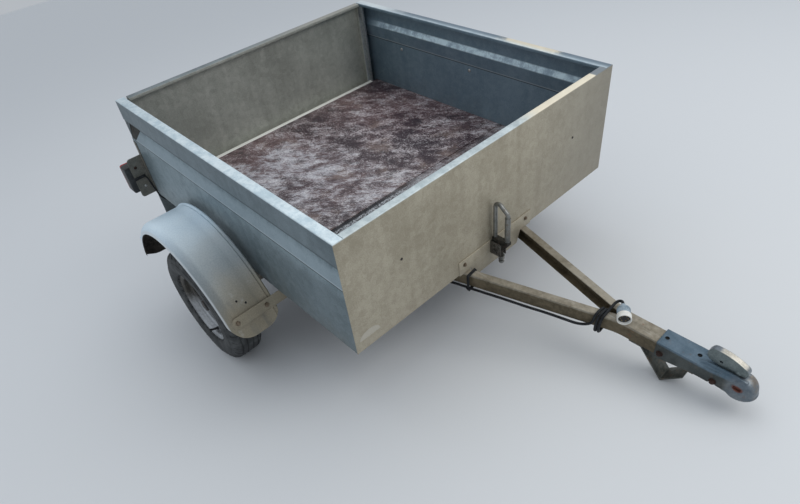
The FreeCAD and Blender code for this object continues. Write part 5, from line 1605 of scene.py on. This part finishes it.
# %% Fasteners
STRAP_PLACES = (
    # degrees round the mudguard, shape
    (180.0 - 30.0, round_screw),
    (30.0, hex_bolt),
)
STRAP_BOLTS_Y = (0.6353, 0.5450)
STRAP_PROUD = 0.008
WALL_INSIDE = HALF_WIDTH - SHEET
PLATE_FACE = FRONT + 0.003
PAIRED = (
    # look, shape, body, place on the left side, way it faces there, size
    ("wall", round_screw, "tub", (-0.3317, WALL_INSIDE, 0.190), TO_RIGHT, 0.0060),
    ("wall", round_screw, "tub", (0.0088, WALL_INSIDE, 0.190), TO_RIGHT, 0.0060),
    ("wall", round_screw, "tub", (0.400, WALL_INSIDE, 0.190), TO_RIGHT, 0.0060),
    ("rusty", hex_bolt, "chassis", (1.031, 0.0262, -0.0265), TO_LEFT, 0.0058),
    ("rusty", hex_bolt, "chassis", (1.149, 0.0262, -0.0225), TO_LEFT, 0.0058),
    ("rusty", round_screw, "tub", (REAR, 0.5309, 0.1104), ALONG, 0.0050),
    ("bright", round_screw, "tub", (REAR, 0.5238, 0.0381), ALONG, 0.0045),
    ("dark", round_screw, "tub", (FRONT, 0.332, 0.187), ALONG, 0.0036),
)
SINGLE = (
    # look, shape, body, place, way it faces, size
    ("brown", hex_bolt, "tub", (PLATE_FACE, -0.1290, 0.0296), ALONG, 0.0045),
    ("brown", hex_bolt, "tub", (PLATE_FACE, 0.1250, 0.0296), ALONG, 0.0045),
)
LOOKS = {"brown": "brown_bolt", "wall": "zinc_bolt", "bright": "zinc_bolt", "rusty": "rusty_bolt",
         "dark": "dark_steel"}
SLOTS = {"tub": "galvanised_steel", "chassis": "coupling_steel"}
groups = {}


def fasten(side, look, shape, body, place, facing, size):
    """Make one fastener as its row says, on the left side for 1 and mirrored to the right for -1."""
    across = Vector((1.0, side, 1.0))
    groups.setdefault((look, body), []).append(shape(Vector(place) * across, facing * across, size))


for side in (-1, 1):
    for degrees, shape in STRAP_PLACES:
        out = guard_ways(degrees)[0]
        for y in STRAP_BOLTS_Y:
            place = GUARD_CENTRE + out * (GUARD_RADIUS + STRAP_PROUD) + TO_LEFT * y
            fasten(side, "brown", shape, "tub", place, out, 0.0050)
    for row in PAIRED:
        fasten(side, *row)
for row in SINGLE:
    fasten(1, *row)
for (look, body), parts in groups.items():
    settle(merged("fasteners_" + look + "_" + body, parts), body, metal[LOOKS[look]], SLOTS[body])
print(sum(len(parts) for parts in groups.values()), "fasteners set")

# %% [markdown]
# A pale floor and soft light from above and from ahead. The photograph's light comes from an open sky:
# what faces forward is bright, what faces the camera's left is in shade. The backdrop is a little dimmer
# to the camera, in mirrors and through glass than the light that it gives.

# %% Floor, world and lamps
SKY_LIGHT = 0.80
SKY_SEEN = 0.56
LAMPS = (
    # name, place, target, size, power, colour
    ("sky_ahead", (3.2, 1.2, 3.0), (0.2, 0.0, 0.2), (3.0, 2.4), 60.0, (1.0, 0.97, 0.92)),
    ("sky_above", (-0.5, 1.0, 4.2), (-0.2, 0.0, 0.2), (4.0, 4.0), 36.0, (1.0, 1.0, 1.0)),
)
floor = added("studio_floor", bpy.ops.mesh.primitive_plane_add, size=60.0)
floor_look = Finish("studio_floor").connect({"Base Color": (0.62, 0.64, 0.66), "Roughness": 0.85})
floor.data.materials.append(floor_look)

world = bpy.data.worlds.new("studio")
bpy.context.scene.world = world
world.use_nodes = True
tree = world.node_tree
backdrop = tree.nodes["Background"]
backdrop.inputs["Color"].default_value = (0.82, 0.87, 0.93, 1.0)
rays = tree.nodes.new("ShaderNodeLightPath")
shown = rays.outputs["Is Camera Ray"]
for ray in ("Is Transmission Ray", "Is Glossy Ray"):
    either = tree.nodes.new("ShaderNodeMath")
    either.operation = "MAXIMUM"
    tree.links.new(shown, either.inputs[0])
    tree.links.new(rays.outputs[ray], either.inputs[1])
    shown = either.outputs[0]
strength = tree.nodes.new("ShaderNodeMapRange")
strength.inputs["To Min"].default_value = SKY_LIGHT
strength.inputs["To Max"].default_value = SKY_SEEN
tree.links.new(shown, strength.inputs["Value"])
tree.links.new(strength.outputs[0], backdrop.inputs["Strength"])

for name, place, target, size, power, colour in LAMPS:
    data = bpy.data.lights.new(name, "AREA")
    data.shape = "RECTANGLE"
    data.size, data.size_y = size
    data.energy = power
    data.color = colour
    facing = (Vector(target) - Vector(place)).to_track_quat("-Z", "Y").to_matrix().to_4x4()
    linked(name, data).matrix_world = Matrix.Translation(place) @ facing

scene = bpy.context.scene
scene.view_settings.view_transform = "Standard"
print("stage ready")
